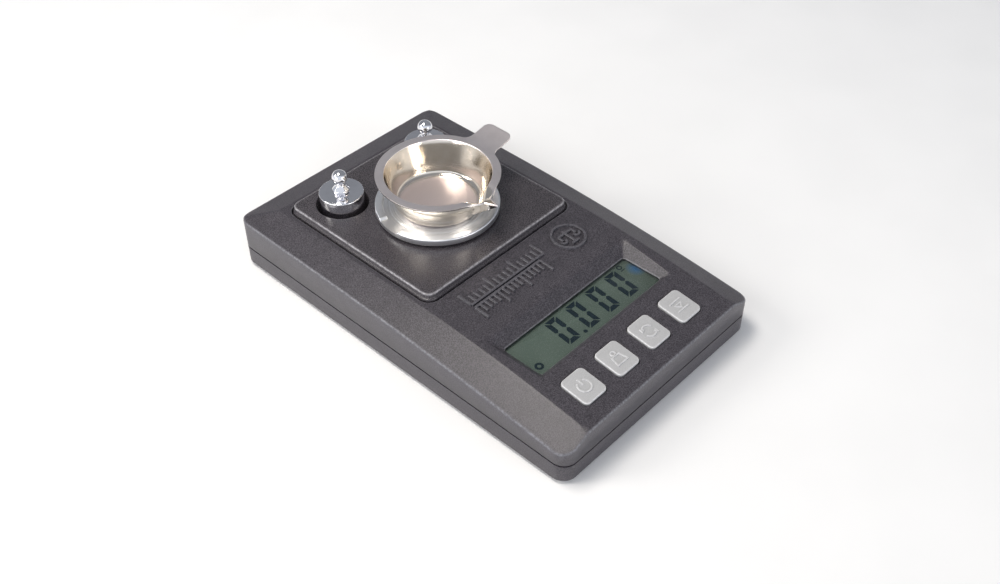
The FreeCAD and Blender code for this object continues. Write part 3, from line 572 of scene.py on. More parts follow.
def lens_plastic(name):
    """Clear window: mostly see-through, with a faint reflection that grows at low angles."""
    finish = Finish(name, roughness=0.05)
    clear = finish.nodes.new("ShaderNodeBsdfTransparent")
    clear.inputs["Color"].default_value = (0.93, 0.95, 0.94, 1)
    shine = finish.node("ShaderNodeBsdfGlossy",
                        roughness=finish.spread(finish.noise(0.8), 0.02, 0.06))
    facing = finish.node("ShaderNodeLayerWeight", blend=0.5).outputs["Facing"]
    joined = finish.nodes.new("ShaderNodeMixShader")
    sources = (finish.spread(facing, 0.025, 0.5, 0.45, 1.0), clear.outputs[0], shine.outputs[0])
    for socket, source in zip(joined.inputs, sources):
        finish.link(source, socket)
    finish.link(joined.outputs[0], finish.nodes["Material Output"].inputs["Surface"])
    return finish


# each slot's maker and what it takes after the name
FINISHES = {
    # a moulded finish's third colour is its pale edge colour: part wear, part painted highlight
    "case_plastic": (moulded, (0.020, 0.018, 0.023), (0.096, 0.087, 0.101), (0.19, 0.19, 0.21),
                     0.32, 0.44, 0.34, 0.035),
    "deck_plastic": (moulded, (0.026, 0.023, 0.027), (0.095, 0.086, 0.095), (0.36, 0.35, 0.37),
                     0.22, 0.32, 0.3, 0.018),
    "key_plastic": (moulded, (0.42, 0.42, 0.425), (0.50, 0.50, 0.505), (0.70, 0.70, 0.71),
                    0.3, 0.42, 0.25, 0.012),
    "pan_metal": (pan_metal,),
    "platform_aluminium": (platform_aluminium,),
    "weight_chrome": (weight_chrome,),
    "display_cell": (display_cell,),
    "segment_ink": (segment_ink,),
    "lens_plastic": (lens_plastic,),
    "screw_steel": (metal, (0.42, 0.42, 0.43), (0.55, 0.55, 0.56), 0.25, 0.4),
    "beam_aluminium": (metal, (0.60, 0.61, 0.63), (0.70, 0.71, 0.73), 0.3, 0.45, (1, 8, 1)),
    "capacitor_can": (metal, (0.5, 0.5, 0.52), (0.62, 0.62, 0.64), 0.2, 0.35),
    "battery_jacket": (metal, (0.10, 0.18, 0.26), (0.14, 0.24, 0.34), 0.25, 0.4),
    "contact_spring_steel": (metal, (0.55, 0.55, 0.53), (0.68, 0.68, 0.66), 0.2, 0.35),
    "foot_rubber": (plain, (0.022, 0.022, 0.024), 0.6, 0.8),
    "strip_rubber": (plain, (0.5, 0.5, 0.48), 0.5, 0.7),
    "light_guide": (plain, (0.62, 0.68, 0.72), 0.2, 0.3),
    "frame_plastic": (plain, (0.6, 0.6, 0.58)),
    "board_laminate": (plain, (0.02, 0.13, 0.06), 0.25, 0.4),
    "chip_epoxy": (plain, (0.02, 0.02, 0.022)),
    "switch_plastic": (plain, (0.035, 0.035, 0.035)),
    "plunger_plastic": (plain, (0.5, 0.49, 0.46)),
    "gauge_coating": (plain, (0.6, 0.6, 0.58)),
    "cable_grey": (plain, (0.2, 0.2, 0.21)),
    "cable_red": (plain, (0.35, 0.02, 0.02)),
    "cable_black": (plain, (0.015, 0.015, 0.015)),
}


@functools.cache
def finish_for(slot):
    """The material of a slot, made once."""
    maker, *settings = FINISHES[slot]
    return maker(slot, *settings).material


# ---- Pieces ----

def settle(item):
    """Apply a piece's modifiers to its mesh."""
    bpy.context.view_layer.update()
    shaped = item.evaluated_get(bpy.context.evaluated_depsgraph_get())
    item.data = bpy.data.meshes.new_from_object(shaped)
    item.modifiers.clear()


def place_in_scene(name, data):
    item = bpy.data.objects.new(name, data)
    bpy.context.scene.collection.objects.link(item)
    return item


def piece(name, surface, node, crease=38, material=None, stands_for=True, modify=None):
    """Make a surface into an object that rides with a CAD node's body and takes its finish."""
    mesh = bpy.data.meshes.new(name)
    mesh.from_pydata([Vector(point) * MM for point in surface.points], [], surface.faces)
    # each point's share of wear and painted highlight, read by the moulded finishes
    mark = mesh.attributes.new("rub", "FLOAT", "POINT")
    for index, share in surface.rub.items():
        mark.data[index].value = share
    work = bmesh.new()
    work.from_mesh(mesh)
    bmesh.ops.remove_doubles(work, verts=work.verts, dist=1e-4 * MM)
    bmesh.ops.recalc_face_normals(work, faces=work.faces)
    work.to_mesh(mesh)
    work.free()
    item = place_in_scene(name, mesh)
    if modify:
        modify(item)
        settle(item)
    item.data.shade_smooth()
    item.data.set_sharp_from_angle(angle=math.radians(crease))
    item.data.materials.clear()
    item.data.materials.append(material or finish_for(SLOT_OF[node]))
    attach(item, BODY_OF[node])
    if stands_for:
        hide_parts(node)
    return item


# ---- Upper shell ----

CASE = RoundRect((0, 0), (CASE_SIDE, CASE_END), CASE_CORNER, turns=12)
CASE_EDGE = 0.5
LOWER_EDGE = 0.3
RECESS = outline_of("deck_plate", 4.1, margin=0.7)
RECESS_EDGE = 0.2
LEDGE_WIDTH = 3.0
WINDOW_LEVEL = span("display_lens")[1].z
WINDOW = outline_of("display_lens", 0.9, margin=-1.3, spacing=1.0, turns=6)
WINDOW_LIP = 0.03
WINDOW_SEAT = 2.2                          # flat inside round the window, where the lens sits
LENS_GAP = 0.02
KEY_NODES = ["button_power", "button_calibrate", "button_unit", "button_tare"]
KEY_FLANGE = 0.9
KEY_GAP = 0.25
KEY_CORNER = 1.6
KEY_EDGE = 0.2
KEY_HALF_WIDTH = (span(KEY_NODES[0])[1].x - span(KEY_NODES[0])[0].x) / 2 - KEY_FLANGE
KEY_DEPTH = 10.4
KEY_ROW = -58.9
KEY_HOLES = [RoundRect((middle_of(node).x, KEY_ROW), (KEY_HALF_WIDTH, KEY_DEPTH / 2), KEY_CORNER,
                       spacing=0.8).grown(KEY_GAP) for node in KEY_NODES]
GRID = 1.0
CREASE_LINES = [place * 0.3 for place in range(-4, 5)]


def arc_level(back, front, start, y):
    """Level of a line that is flat behind start and falls in an arc past the front station."""
    reach, fall = start - FRONT_STATION, back - front
    radius = (reach ** 2 + fall ** 2) / (2 * fall)
    run = max(start - y, 0)
    return back - radius + math.sqrt(radius ** 2 - run ** 2)


def soft_min(first, second, blend=0.12):
    """The lower of two levels, with the crease between them eased."""
    overlap = max(blend - abs(first - second), 0) / blend
    return min(first, second) - overlap ** 2 * blend / 4


def panel_level(x, y):
    """The upper shell's form without its window: a panel with two side bevels and a back one."""
    panel = arc_level(PANEL_BACK, PANEL_FRONT, PANEL_START, y)
    shoulder = arc_level(SHOULDER_BACK, SHOULDER_FRONT, SHOULDER_START, y)
    side = panel + (abs(x) - BEVEL_LINE) / BEVEL_WIDTH * (shoulder - panel)
    back = PANEL_BACK - (y - BACK_LINE) / BACK_BEVEL * (PANEL_BACK - SHOULDER_BACK)
    return soft_min(soft_min(panel, side), back)


def panel_slope(x, y, step=0.1):
    """How steeply the panel rises towards the back."""
    return (panel_level(x, y + step) - panel_level(x, y - step)) / (2 * step)


def window_rise(x, y):
    """How far the 45 degree flare round the window has risen at a spot."""
    beside = abs(x - WINDOW.centre[0]) - WINDOW.half[0]
    beyond = abs(y - WINDOW.centre[1]) - WINDOW.half[1]
    return max(-soft_min(-beside, -beyond, 0.3), 0)


def cover_level(x, y):
    """The upper shell's outside, with its openings' edges eased."""
    flare = WINDOW_LEVEL + WINDOW_LIP + window_rise(x, y)
    level = soft_min(panel_level(x, y), flare, 0.3)
    level -= rounded_edge(-CASE.distance(x, y), CASE_EDGE)
    level -= rounded_edge(RECESS.distance(x, y), RECESS_EDGE)
    for hole in KEY_HOLES:
        level -= rounded_edge(hole.distance(x, y), KEY_EDGE)
    return level


def under_cover(x, y):
    """The point of the upper shell's inside that lies behind a point of its outside."""
    if WINDOW.distance(x, y) < WINDOW_SEAT:
        return x, y, WINDOW_LEVEL + LENS_GAP
    if RECESS.distance(x, y) < 1:
        return x, y, LEDGE_LOW
    slope = panel_slope(x, y)
    lean = math.hypot(1, slope)
    return x, y + WALL * slope / lean, panel_level(x, y) - WALL / lean


def cover_spots():
    """Loose spots of the upper shell's sheet: an even grid, finer along the bevels' creases."""
    crease_reach = CREASE_LINES[-1] + 0.5
    rows = grid(-CASE_END, CASE_END, GRID)
    columns = grid(-CASE_SIDE, CASE_SIDE, GRID)
    flat_columns = [column for column in columns if abs(abs(column) - BEVEL_LINE) > crease_reach]
    spots = [(column, row) for column in flat_columns for row in rows
             if abs(row - BACK_LINE) > crease_reach]
    for offset in CREASE_LINES:
        spots += [(side * (BEVEL_LINE + offset), row) for side in (-1, 1) for row in rows]
        spots += [(column, BACK_LINE + offset) for column in flat_columns]
    # each limit lies just past the last ring round that outline
    return [spot for spot in spots
            if CASE.distance(*spot) < -WALL - 0.3 and RECESS.distance(*spot) > 0.9
            and window_rise(*spot) > 3.7 and all(hole.distance(*spot) > 0.6 for hole in KEY_HOLES)]


def top_cover():
    """A sheet with rings round every opening, walls down to the seam, and an inside."""
    outlines = [(CASE, [-inset for inset in edge_insets(CASE_EDGE) + [1.2, WALL]]),
                (RECESS, edge_insets(RECESS_EDGE, 3) + [0.5]),
                (WINDOW, [0.2 * step for step in range(18)])]
    outlines += [(hole, edge_insets(KEY_EDGE, 3) + [0.4]) for hole in KEY_HOLES]
    sheet = Sheet(outlines, cover_spots(), cover_level, under_cover,
                  lambda x, y: CASE.distance(x, y) < -WALL)
    case, recess, window, *keys = sheet.rings
    walls = sheet.stack(CASE, [(0, SEAM_LEVEL + LOWER_EDGE), (-LOWER_EDGE, SEAM_LEVEL),
                               (-WALL, SEAM_LEVEL)])
    sheet.chain(case[0], *walls, sheet.inside(case[-1]))
    ledge = sheet.stack(RECESS, [(0, LEDGE_HIGH), (-LEDGE_WIDTH, LEDGE_HIGH),
                                 (-LEDGE_WIDTH, LEDGE_LOW)])
    sheet.chain(recess[0], *ledge, sheet.inside(recess[0]))
    for rings in (window, *keys):
        sheet.bridge(rings[0], sheet.inside(rings[0]))
    # the case's, the recess's and the window's edges get wear and a painted highlight
    sheet.mark_edge_wear_and_highlight(case[:-2])
    sheet.mark_edge_wear_and_highlight(recess[:-1])
    sheet.mark_edge_wear_and_highlight(window[:2])
    piece("top_cover_shell", sheet, "top_cover", crease=50)


MARK_WIDTH = 0.8
MARK_HEIGHT = 0.7
RULE_START, RULE_ROW = -23.5, -17.0
RULE_GAP = 0.7                             # from the row's line to each rule's own
RULE_PITCHES = [(1, 2.1), (-1, 0.9 * 2.1)]
RULE_STEPS = 15
RULE_LONG = 5.5
RULE_SHORT = 3.4
BALANCE_PLACE = Vector((19.5, -16.5))
BALANCE_ARM, BALANCE_BEAM, BALANCE_FOOT = 3, 1.6, -3.1
BALANCE = [(arc((0, 0), 5.4, 0, 350, 35), True),
           (line((0, BALANCE_FOOT), (0, 2.6)), False),
           (line((-1.5, BALANCE_FOOT), (1.5, BALANCE_FOOT)), False),
           (line((-BALANCE_ARM, BALANCE_BEAM), (BALANCE_ARM, BALANCE_BEAM)), False)]
for arm in (-BALANCE_ARM, BALANCE_ARM):
    BALANCE.append((arc((arm, -0.6), 1.1, 180, 360, 8), False))
    BALANCE.append((line((arm, BALANCE_BEAM), (arm, -0.6)), False))


def relief():
    """Raised marks behind the window: a pair of sliding rules and a balance inside a ring."""
    surface = Surface()

    def on_panel(x, y, up):
        return x, y, panel_level(x, y) + up

    def mark(path, closed=False):
        stroke(surface, path, MARK_WIDTH, -0.1, MARK_HEIGHT, on_panel, closed, 0.08)

    for side, pitch in RULE_PITCHES:
        line_y = RULE_ROW + side * RULE_GAP
        mark(line((RULE_START, line_y), (RULE_START + RULE_STEPS * pitch, line_y)))
        for step in range(RULE_STEPS + 1):
            reach = RULE_LONG if step % 5 == 0 else RULE_SHORT
            x = RULE_START + step * pitch
            mark(line((x, line_y + side * 0.2), (x, line_y + side * reach)))
    for path, closed in BALANCE:
        mark([BALANCE_PLACE + point for point in path], closed)
    # the marks' tops are painted paler: painted highlight, part wear
    surface.mark_all_wear_and_highlight(0.45)
    piece("panel_relief", surface, "top_cover", stands_for=False)


# ---- Deck ----

DECK_FOOT = 0.4
DECK = outline_of("deck_plate", 3.0, margin=-DECK_FOOT)
DECK_LEVEL = span("deck_plate")[1].z
DECK_BASE = LEDGE_HIGH + 0.02
DECK_EDGE = 0.5
DECK_FOOT_LEVEL = 21.1
FOOT_EDGE = 0.12
DECK_SKIN = 2.0
DECK_RIM = 2.9
DECK_GRID = 1.5
STEM_HOLE = 5.0
WELL_RADIUS = 8.45
WELL_WALL = 1.4
WELL_EDGE = 0.25
WELL_ROUND = 0.6
WELL_BOTTOM = 1.2
WEIGHT_GAP = 0.02
WEIGHT_NODES = ["weight_left", "weight_right"]


def deck_plate():
    """Raised plate with a stepped foot, two round wells and the hole for the platform's stem."""
    wells = [disc_outline(middle_of(node), WELL_RADIUS, turns=20) for node in WEIGHT_NODES]
    hole = disc_outline(middle_of("platform_disc"), STEM_HOLE)
    low, high = span("deck_plate")
    spots = [(x, y)
             for x in grid(low.x, high.x, DECK_GRID) for y in grid(low.y, high.y, DECK_GRID)
             if DECK.distance(x, y) < -DECK_RIM - 0.4 and hole.distance(x, y) > 0.5
             and all(well.distance(x, y) > WELL_WALL + 0.3 for well in wells)]

    def level(x, y):
        drop = rounded_edge(-DECK.distance(x, y), DECK_EDGE)
        return DECK_LEVEL - drop - sum(rounded_edge(well.distance(x, y), WELL_EDGE)
                                       for well in wells)

    def under(x, y):
        return x, y, DECK_LEVEL - DECK_SKIN

    def hollow(x, y):
        return (DECK.distance(x, y) < -DECK_RIM
                and all(well.distance(x, y) > WELL_WALL for well in wells))

    outlines = [(DECK, [-inset for inset in edge_insets(DECK_EDGE) + [1.6, DECK_RIM]])]
    outlines += [(well, edge_insets(WELL_EDGE, 4) + [WELL_WALL]) for well in wells]
    sheet = Sheet(outlines + [(hole, [0])], spots, level, under, hollow)
    deck, *well_rings, (hole_ring,) = sheet.rings
    sides = sheet.stack(DECK, [
        (0, DECK_FOOT_LEVEL + FOOT_EDGE), (FOOT_EDGE, DECK_FOOT_LEVEL),
        (DECK_FOOT - FOOT_EDGE, DECK_FOOT_LEVEL), (DECK_FOOT, DECK_FOOT_LEVEL - FOOT_EDGE),
        (DECK_FOOT, DECK_BASE), (-DECK_RIM, DECK_BASE)])
    sheet.chain(deck[0], *sides, sheet.inside(deck[-1]))
    well_floor = span("weight_left")[0].z - WEIGHT_GAP
    for well, rings in zip(wells, well_rings):
        side, bottom, under_well = sheet.stack(well, [
            (0, well_floor + WELL_ROUND), (-WELL_ROUND, well_floor),
            (WELL_WALL, well_floor - WELL_BOTTOM)])
        sheet.chain(rings[0], side, bottom)
        sheet.cap(bottom)
        sheet.bridge(sheet.inside(rings[-1]), under_well)
        sheet.cap(under_well)
    sheet.bridge(hole_ring, sheet.inside(hole_ring))
    # the deck's rounded edge gets wear and a painted highlight
    sheet.mark_edge_wear_and_highlight(deck[:-2])
    piece("deck_shell", sheet, "deck_plate", crease=50)


# ---- Platform, pan and weights ----

HUB_LENGTH = 3.5
HUB_RADIUS = 3.7
BORE_RADIUS = 2.05
BORE_END = 0.9                             # above the disc's underside
RIM_WIDTH = 2.7
RIM_HEIGHT = 0.8
GROOVES = [(15.9, 15.2, 0.1, 0.1, 0.05), (14.2, 13.8, 0.06, 0.05, 0.02)]  # radii, depth, roundings
GROOVE_SLOPE = 0.1
NOTCH_MIDDLE = math.pi - 0.11
NOTCH_ANGLE = 0.44
NOTCH_SLOPE = 0.02


def platform_disc():
    """Turned disc with a raised rim, shallow rings on its floor and a notch cut in the rim."""
    low, high = span("platform_disc")
    centre = middle_of("platform_disc")
    radius, rim = high.x - centre.x, high.z
    base, floor_level = low.z + HUB_LENGTH, rim - RIM_HEIGHT
    bore_end, inner = base + BORE_END, radius - RIM_WIDTH
    corners = [(0, bore_end, 0), (BORE_RADIUS, bore_end, 0), (BORE_RADIUS, low.z, 0),
               (HUB_RADIUS, low.z, 0.3), (HUB_RADIUS, base, 0.3), (radius, base, 0.35),
               (radius, rim, 0.45), (inner + 0.25, rim, 0.3), (inner, floor_level, 0.2)]
    for outer, least, depth, lip, root in GROOVES:
        corners += [(outer, floor_level, lip), (outer - GROOVE_SLOPE, floor_level - depth, root),
                    (least + GROOVE_SLOPE, floor_level - depth, root), (least, floor_level, lip)]
    profile = eased(corners + [(0, floor_level, 0)], steps=4)
    ends = [NOTCH_MIDDLE + side * NOTCH_ANGLE / 2 + offset * NOTCH_SLOPE
            for side in (-1, 1) for offset in (-1, -0.3, 0.3, 1)]
    azimuths = sorted([turn for turn in even_turn(180)
                       if all(abs(turn - end) > 0.012 for end in ends)] + ends)

    def notch(radial, height, azimuth):
        if height <= floor_level or radial < inner - 0.5:
            return height
        apart = abs(azimuth - NOTCH_MIDDLE) - NOTCH_ANGLE / 2
        share = min(max(0.5 - apart / (2 * NOTCH_SLOPE), 0), 1)
        return height + (floor_level - height) * share * share * (3 - 2 * share)

    surface = Surface()
    lathe(surface, centre, profile, azimuths, notch)
    piece("platform_turned", surface, "platform_disc", crease=30)


PAN_SHEET = 0.5
PAN_MOUTH = 17.0
PAN_FOOT = 13.5
PAN_FLOOR = 12.0
PAN_HOLLOW = 2.0
PAN_LIP = 0.4
WALL_STEPS = 8
FLANGE_STEPS = [0.2, 0.4, 0.6, 0.8, 0.93, 1]
TAB_LIFT = 1.5
TAB_CORNER = 2.5
TAB_ROOT = 3.0
TAB_HALF_WIDTH = 5.6
SPOUT_HALF_ANGLE = math.radians(24)
SPOUT_SWELL = 2.2
BEAK_HALF_ANGLE = math.radians(3)
BEAK_LENGTH = 3.4
BEAK_LIFT = 0.3
KEEL_OUT, KEEL_RISE = 0.9, 2.2             # the keel's start, from the foot and the floor


def pan_outline(flange, tab_reach):
    """The flange's outer edge about the pan's middle: a circle with a round-cornered tab."""
    fillet_y = TAB_HALF_WIDTH + TAB_ROOT
    fillet_x = math.sqrt((flange + TAB_ROOT) ** 2 - fillet_y ** 2)
    root = math.degrees(math.atan2(fillet_y, fillet_x))
    corner_x, corner_y = tab_reach - TAB_CORNER, TAB_HALF_WIDTH - TAB_CORNER
    upper = [Vector((tab_reach, corner_y * share / 3)) for share in (1, 2)]
    upper += arc((corner_x, corner_y), TAB_CORNER, 0, 90, 8)
    side = line((corner_x, TAB_HALF_WIDTH), (fillet_x, TAB_HALF_WIDTH))
    upper += [side[0].lerp(side[1], share / 5) for share in range(1, 5)]
    upper += arc((fillet_x, fillet_y), TAB_ROOT, -90, root - 180, 8)
    lower = [Vector((point.x, -point.y)) for point in reversed(upper)]
    rim = arc((0, 0), flange, root, 270, 240)[1:] + arc((0, 0), flange, 270, 360 - root, 60)[1:-1]
    return upper + rim + lower + [Vector((tab_reach, 0))]


def bowl_profile(base, rim):
    """From the middle of the floor, up the wall and over the lip."""
    bowl = eased([(0, base, 0), (PAN_FOOT, base, PAN_HOLLOW), (PAN_MOUTH, rim, PAN_LIP),
                  (PAN_MOUTH + 2 * PAN_LIP, rim, 0)], steps=WALL_STEPS)
    foot_end = 1 + WALL_STEPS
    floor_rings = [Vector((radius, base)) for radius in (4, 8)]
    wall = [bowl[foot_end].lerp(bowl[foot_end + 1], share / 8) for share in range(1, 8)]
    return bowl[:1] + floor_rings + bowl[1:foot_end + 1] + wall + bowl[foot_end + 1:]


def weighing_pan():
    """Pressed bowl with a rolled lip, a flat flange with a tab, and a folded pouring spout."""
    low, high = span("weighing_pan")
    middle = middle_of("platform_disc")
    flange = high.y - middle.y
    centre = Vector((low.x + flange, middle.y))
    base, rim = low.z + PAN_SHEET, high.z
    tab_reach = high.x - centre.x
    bowl = bowl_profile(base, rim)
    keel_start = Vector((PAN_FOOT + KEEL_OUT, base + KEEL_RISE))
    surface = Surface()
    spokes = []
    for edge in pan_outline(flange, tab_reach):
        apart = abs(math.atan2(edge.y, edge.x) + math.pi / 2)
        share = max(1 - apart / SPOUT_HALF_ANGLE, 0) ** 2
        beak = max(1 - apart / BEAK_HALF_ANGLE, 0)
        keel_end = Vector((flange + SPOUT_SWELL + BEAK_LENGTH * beak, rim + BEAK_LIFT * beak))
        heading = edge.normalized()
        lip = bowl[-1].x
        spoke = bowl + [Vector((lip + (edge.length - lip) * step, rim)) for step in FLANGE_STEPS]
        first = next(place for place, point in enumerate(spoke) if point.y > keel_start.y)
        start = len(surface.points)
        for place, point in enumerate(spoke):
            if share and place >= first:
                along = (place - first) / (len(spoke) - 1 - first)
                point = point.lerp(keel_start.lerp(keel_end, along), share)
            spot = heading * point.x
            out = max(spot.x - flange + 1, 0) / (tab_reach - flange + 1)
            lift = TAB_LIFT * out ** 1.5
            surface.points.append((centre.x + spot.x, centre.y + spot.y, point.y + lift))
        spokes.append(list(range(start, len(surface.points))))
    for spoke, after in zip(spokes, spokes[1:] + spokes[:1]):
        for place in range(len(spoke) - 1):
            corners = (spoke[place], after[place], after[place + 1], spoke[place + 1])
            surface.faces.append(corners)

    def sheet(item):
        thick = item.modifiers.new("sheet", "SOLIDIFY")
        thick.thickness = PAN_SHEET * MM
        thick.offset = -1
        soften(item, 0.15, least_angle=60)

    piece("pan_pressed", surface, "weighing_pan", crease=60, modify=sheet)


WEIGHT_BODY = 15.6
COLLAR_RADIUS = 2.3
COLLAR_HEIGHT = 0.3
BELL_RADIUS = 2.75
NECK_RADIUS = 1.5
BALL_RADIUS = 2.5
BALL_DROP = 0.5                            # below the top of the CAD's ball
BALL_STEPS = 20


def calibration_weight(node):
    """Chromed cylinder with a bell-shaped collar and a ball to lift it by."""
    low, high = span(node)
    centre = (low + high) / 2
    radius = high.x - centre.x
    body_top = low.z + WEIGHT_BODY
    bell = body_top + COLLAR_HEIGHT
    ball = high.z - BALL_RADIUS - BALL_DROP
    profile = eased([
        (0, low.z, 0), (radius, low.z, 0.4), (radius, body_top, 0.35),
        (COLLAR_RADIUS, body_top, 0.1), (COLLAR_RADIUS, bell, 0.1), (BELL_RADIUS, bell, 0.15),
        (BELL_RADIUS, bell + 0.9, 0.3), (NECK_RADIUS + 0.1, bell + 2.4, 1.0),
        (NECK_RADIUS, ball - 0.8 * BALL_RADIUS, 0)], steps=5)
    start = math.asin(-0.8)
    for step in range(1, BALL_STEPS + 1):
        turn = start + (math.pi / 2 - start) * step / BALL_STEPS
        profile.append(Vector((BALL_RADIUS * math.cos(turn), ball + BALL_RADIUS * math.sin(turn))))
    surface = Surface()
    lathe(surface, centre, profile, even_turn(96))
    piece(f"{node}_turned", surface, node, crease=40)


# ---- Keys ----

KEY_PROUD = 0.55
KEY_ROUND = 0.32
KEY_CROWN = 0.05
KEY_FACE_INSETS = [1.0, 2.0, 3.2, 4.3]
SYMBOL_WIDTH = 0.5
SYMBOL_HEIGHT = 0.24


def key_space(node):
    """A function that sets a point given across, along and up from a key's face into the case."""
    centre = Vector((middle_of(node).x, KEY_ROW, panel_level(0, KEY_ROW)))
    turn = Matrix.Rotation(math.atan(panel_slope(0, KEY_ROW)), 3, "X")
    return lambda x, y, up: centre + turn @ Vector((x, y, up))


def key_cap(node):
    """Soft-edged cap with a slightly crowned face and a flange that keeps it in the shell."""
    outline = RoundRect((0, 0), (KEY_HALF_WIDTH, KEY_DEPTH / 2), KEY_CORNER, spacing=0.6)
    flange_top = -WALL - 0.05
    steps = [(KEY_FLANGE, flange_top - KEY_FLANGE), (KEY_FLANGE, flange_top), (0, flange_top)]
    steps += [(-inset, KEY_PROUD - KEY_CROWN - rounded_edge(inset, KEY_ROUND))
              for inset in edge_insets(KEY_ROUND)]
    steps += [(-inset, KEY_PROUD - KEY_CROWN * (1 - inset / KEY_FACE_INSETS[-1]) ** 2)
              for inset in KEY_FACE_INSETS]
    surface = Surface()
    rings = surface.stack(outline, steps)
    surface.close(*rings)
    # the cap's rounded edge gets wear and a painted highlight
    surface.mark_edge_wear_and_highlight(rings[3:-len(KEY_FACE_INSETS)])
    place_on = key_space(node)
    surface.points = [tuple(place_on(*point)) for point in surface.points]
    piece(f"{node}_cap", surface, node, crease=40)


def key_symbol(node, strokes):
    """Raised outlines on a key. Each stroke is a path and whether it closes."""
    surface = Surface()
    for path, closed in strokes:
        stroke(surface, path, SYMBOL_WIDTH, KEY_PROUD - 0.1, KEY_PROUD + SYMBOL_HEIGHT,
               key_space(node), closed, 0.06)
    # the symbols' tops are painted paler: painted highlight, part wear
    surface.mark_all_wear_and_highlight(0.7)
    piece(f"{node}_symbol", surface, node, stands_for=False)


def arrow_head(tip, heading, size):
    """Two barbs that meet at a tip; heading is the direction that the arrow points in."""
    turn = math.radians(heading)
    barbs = [Vector(tip) - size * Vector((math.cos(turn + side), math.sin(turn + side)))
             for side in (-0.6, 0.6)]
    return [barbs[0], Vector(tip), barbs[1]]


# strokes about each key's middle: a broken ring and a bar, a weight, two turning arrows, and an
# arrow that points between two lines
KEY_SYMBOLS = {
    "button_power": [(arc((0, -0.2), 2.1, 125, 415, 24), False),
                     (line((0, 0.2), (0, 2.6)), False)],
    "button_calibrate": [(line((-2.1, -2.2), (2.1, -2.2), (1.5, 0.7), (-1.5, 0.7)), True),
                         (arc((0, 1.65), 0.75, 0, 345, 16), True)],
    "button_unit": [(arc((0, 0), 2.1, 20, 150, 12), False),
                    (arc((0, 0), 2.1, 200, 330, 12), False),
                    (arrow_head((-1.9, 0.9), 235, 1.2), False),
                    (arrow_head((1.9, -0.9), 55, 1.2), False)],
    "button_tare": [(line((-2.4, -1.6), (2.4, -1.6)), False),
                    (line((0, -0.9), (1.3, 0.6), (-1.3, 0.6)), True),
                    (line((-2.4, 1.9), (2.4, 1.9)), False)],
}


# ---- Display ----

DIGIT_COUNT = 4
DIGIT_PITCH = 9.15
DIGIT_WIDTH = 5.1
DIGIT_HEIGHT = 11.2
SEGMENT = 1.65
SEGMENT_GAP = 0.1
LEAN = 0.09
DIGITS_X, DIGITS_Y = WINDOW.centre[0] - 12.0, WINDOW.centre[1] - 4.8
DOT_PLACE, DOT_RADIUS = (DIGITS_X + DIGIT_WIDTH + 2.3, DIGITS_Y + 0.4), 0.68
STABLE_PLACE, STABLE_RADIUS = (WINDOW.centre[0] - 24.4, DIGITS_Y + 0.9), 1.0
UNIT_PLACE = Vector((DIGITS_X + 3 * DIGIT_PITCH + DIGIT_WIDTH + 3.2, DIGITS_Y + DIGIT_HEIGHT - 0.5))
INK = 0.03
INK_DEPTH = 0.01
PANE_EDGE = 0.1


def digit_segments():
    """The six lit bars of a nought, about its lower left corner, before leaning."""
    wide, tall, bar, gap = DIGIT_WIDTH, DIGIT_HEIGHT, SEGMENT, SEGMENT_GAP
    middle = tall / 2
    across = [(gap + 0.3, 0), (wide - gap - 0.3, 0), (wide - bar - gap, bar), (bar + gap, bar)]
    upright = [(0, gap + 0.3), (bar, bar + gap), (bar, middle - bar / 2 - gap),
               (bar / 2, middle - gap), (0, middle - bar / 3 - gap)]
    lower = [across, upright, [(wide - x, y) for x, y in upright]]
    return lower + [[(x, tall - y) for x, y in points] for points in lower]


def segments():
    """Leaning noughts with a point, a ring for a steady reading, and a ring over a bar."""
    ink = Surface()
    top = span("display_glass")[1].z

    def drawn(path, width, closed=True):
        stroke(ink, path, width, -INK_DEPTH, INK,
               lambda x, y, up: (x, y, top + up), closed, 0.005)

    for place in range(DIGIT_COUNT):
        left = DIGITS_X + place * DIGIT_PITCH
        for bar in digit_segments():
            outline = line(*((left + x + LEAN * y, DIGITS_Y + y) for x, y in bar))
            plate(ink, outline, top - INK_DEPTH, top + INK)
    plate(ink, arc(DOT_PLACE, DOT_RADIUS, 0, 345, 12), top - INK_DEPTH, top + INK)
    drawn(arc(STABLE_PLACE, STABLE_RADIUS, 0, 345, 23), 0.8)
    drawn(arc(UNIT_PLACE, 0.75, 0, 345, 15), 0.4)
    drawn([UNIT_PLACE + point for point in line((-0.9, -1.5), (0.9, -1.5))], 0.35, closed=False)
    piece("display_segments", ink, "display_glass", material=finish_for("segment_ink"),
          stands_for=False)


def pane(name, node, corner, steps):
    """A flat piece that fills a node's box. Each step of its edge is a margin and a level."""
    surface = Surface()
    surface.close(*surface.stack(outline_of(node, corner, spacing=2.0, turns=4), steps))
    piece(name, surface, node)


def display():
    """Glass cell with dark segments under the clear window."""
    low, high = (corner.z for corner in span("display_glass"))
    pane("display_cell", "display_glass", 0.4,
         [(-PANE_EDGE, low), (0, low + PANE_EDGE), (0, high - PANE_EDGE), (-PANE_EDGE, high)])
    segments()
    low, high = (corner.z for corner in span("display_lens"))
    pane("display_window", "display_lens", 0.6,
         [(0, low), (0, high - PANE_EDGE), (-PANE_EDGE, high)])


# ---- Carried-over CAD nodes ----

BEVELLED = {"base_cover": 0.35, "battery_door": 0.2, "rubber_feet": 0.1, "load_cell_screws": 0.2}


def soften(item, width, least_angle):
    """Round an item's edges that turn by more than an angle in degrees."""
    bevel = item.modifiers.new("edge", "BEVEL")
    bevel.width = width * MM
    bevel.segments = 3
    bevel.angle_limit = math.radians(least_angle)
    return bevel


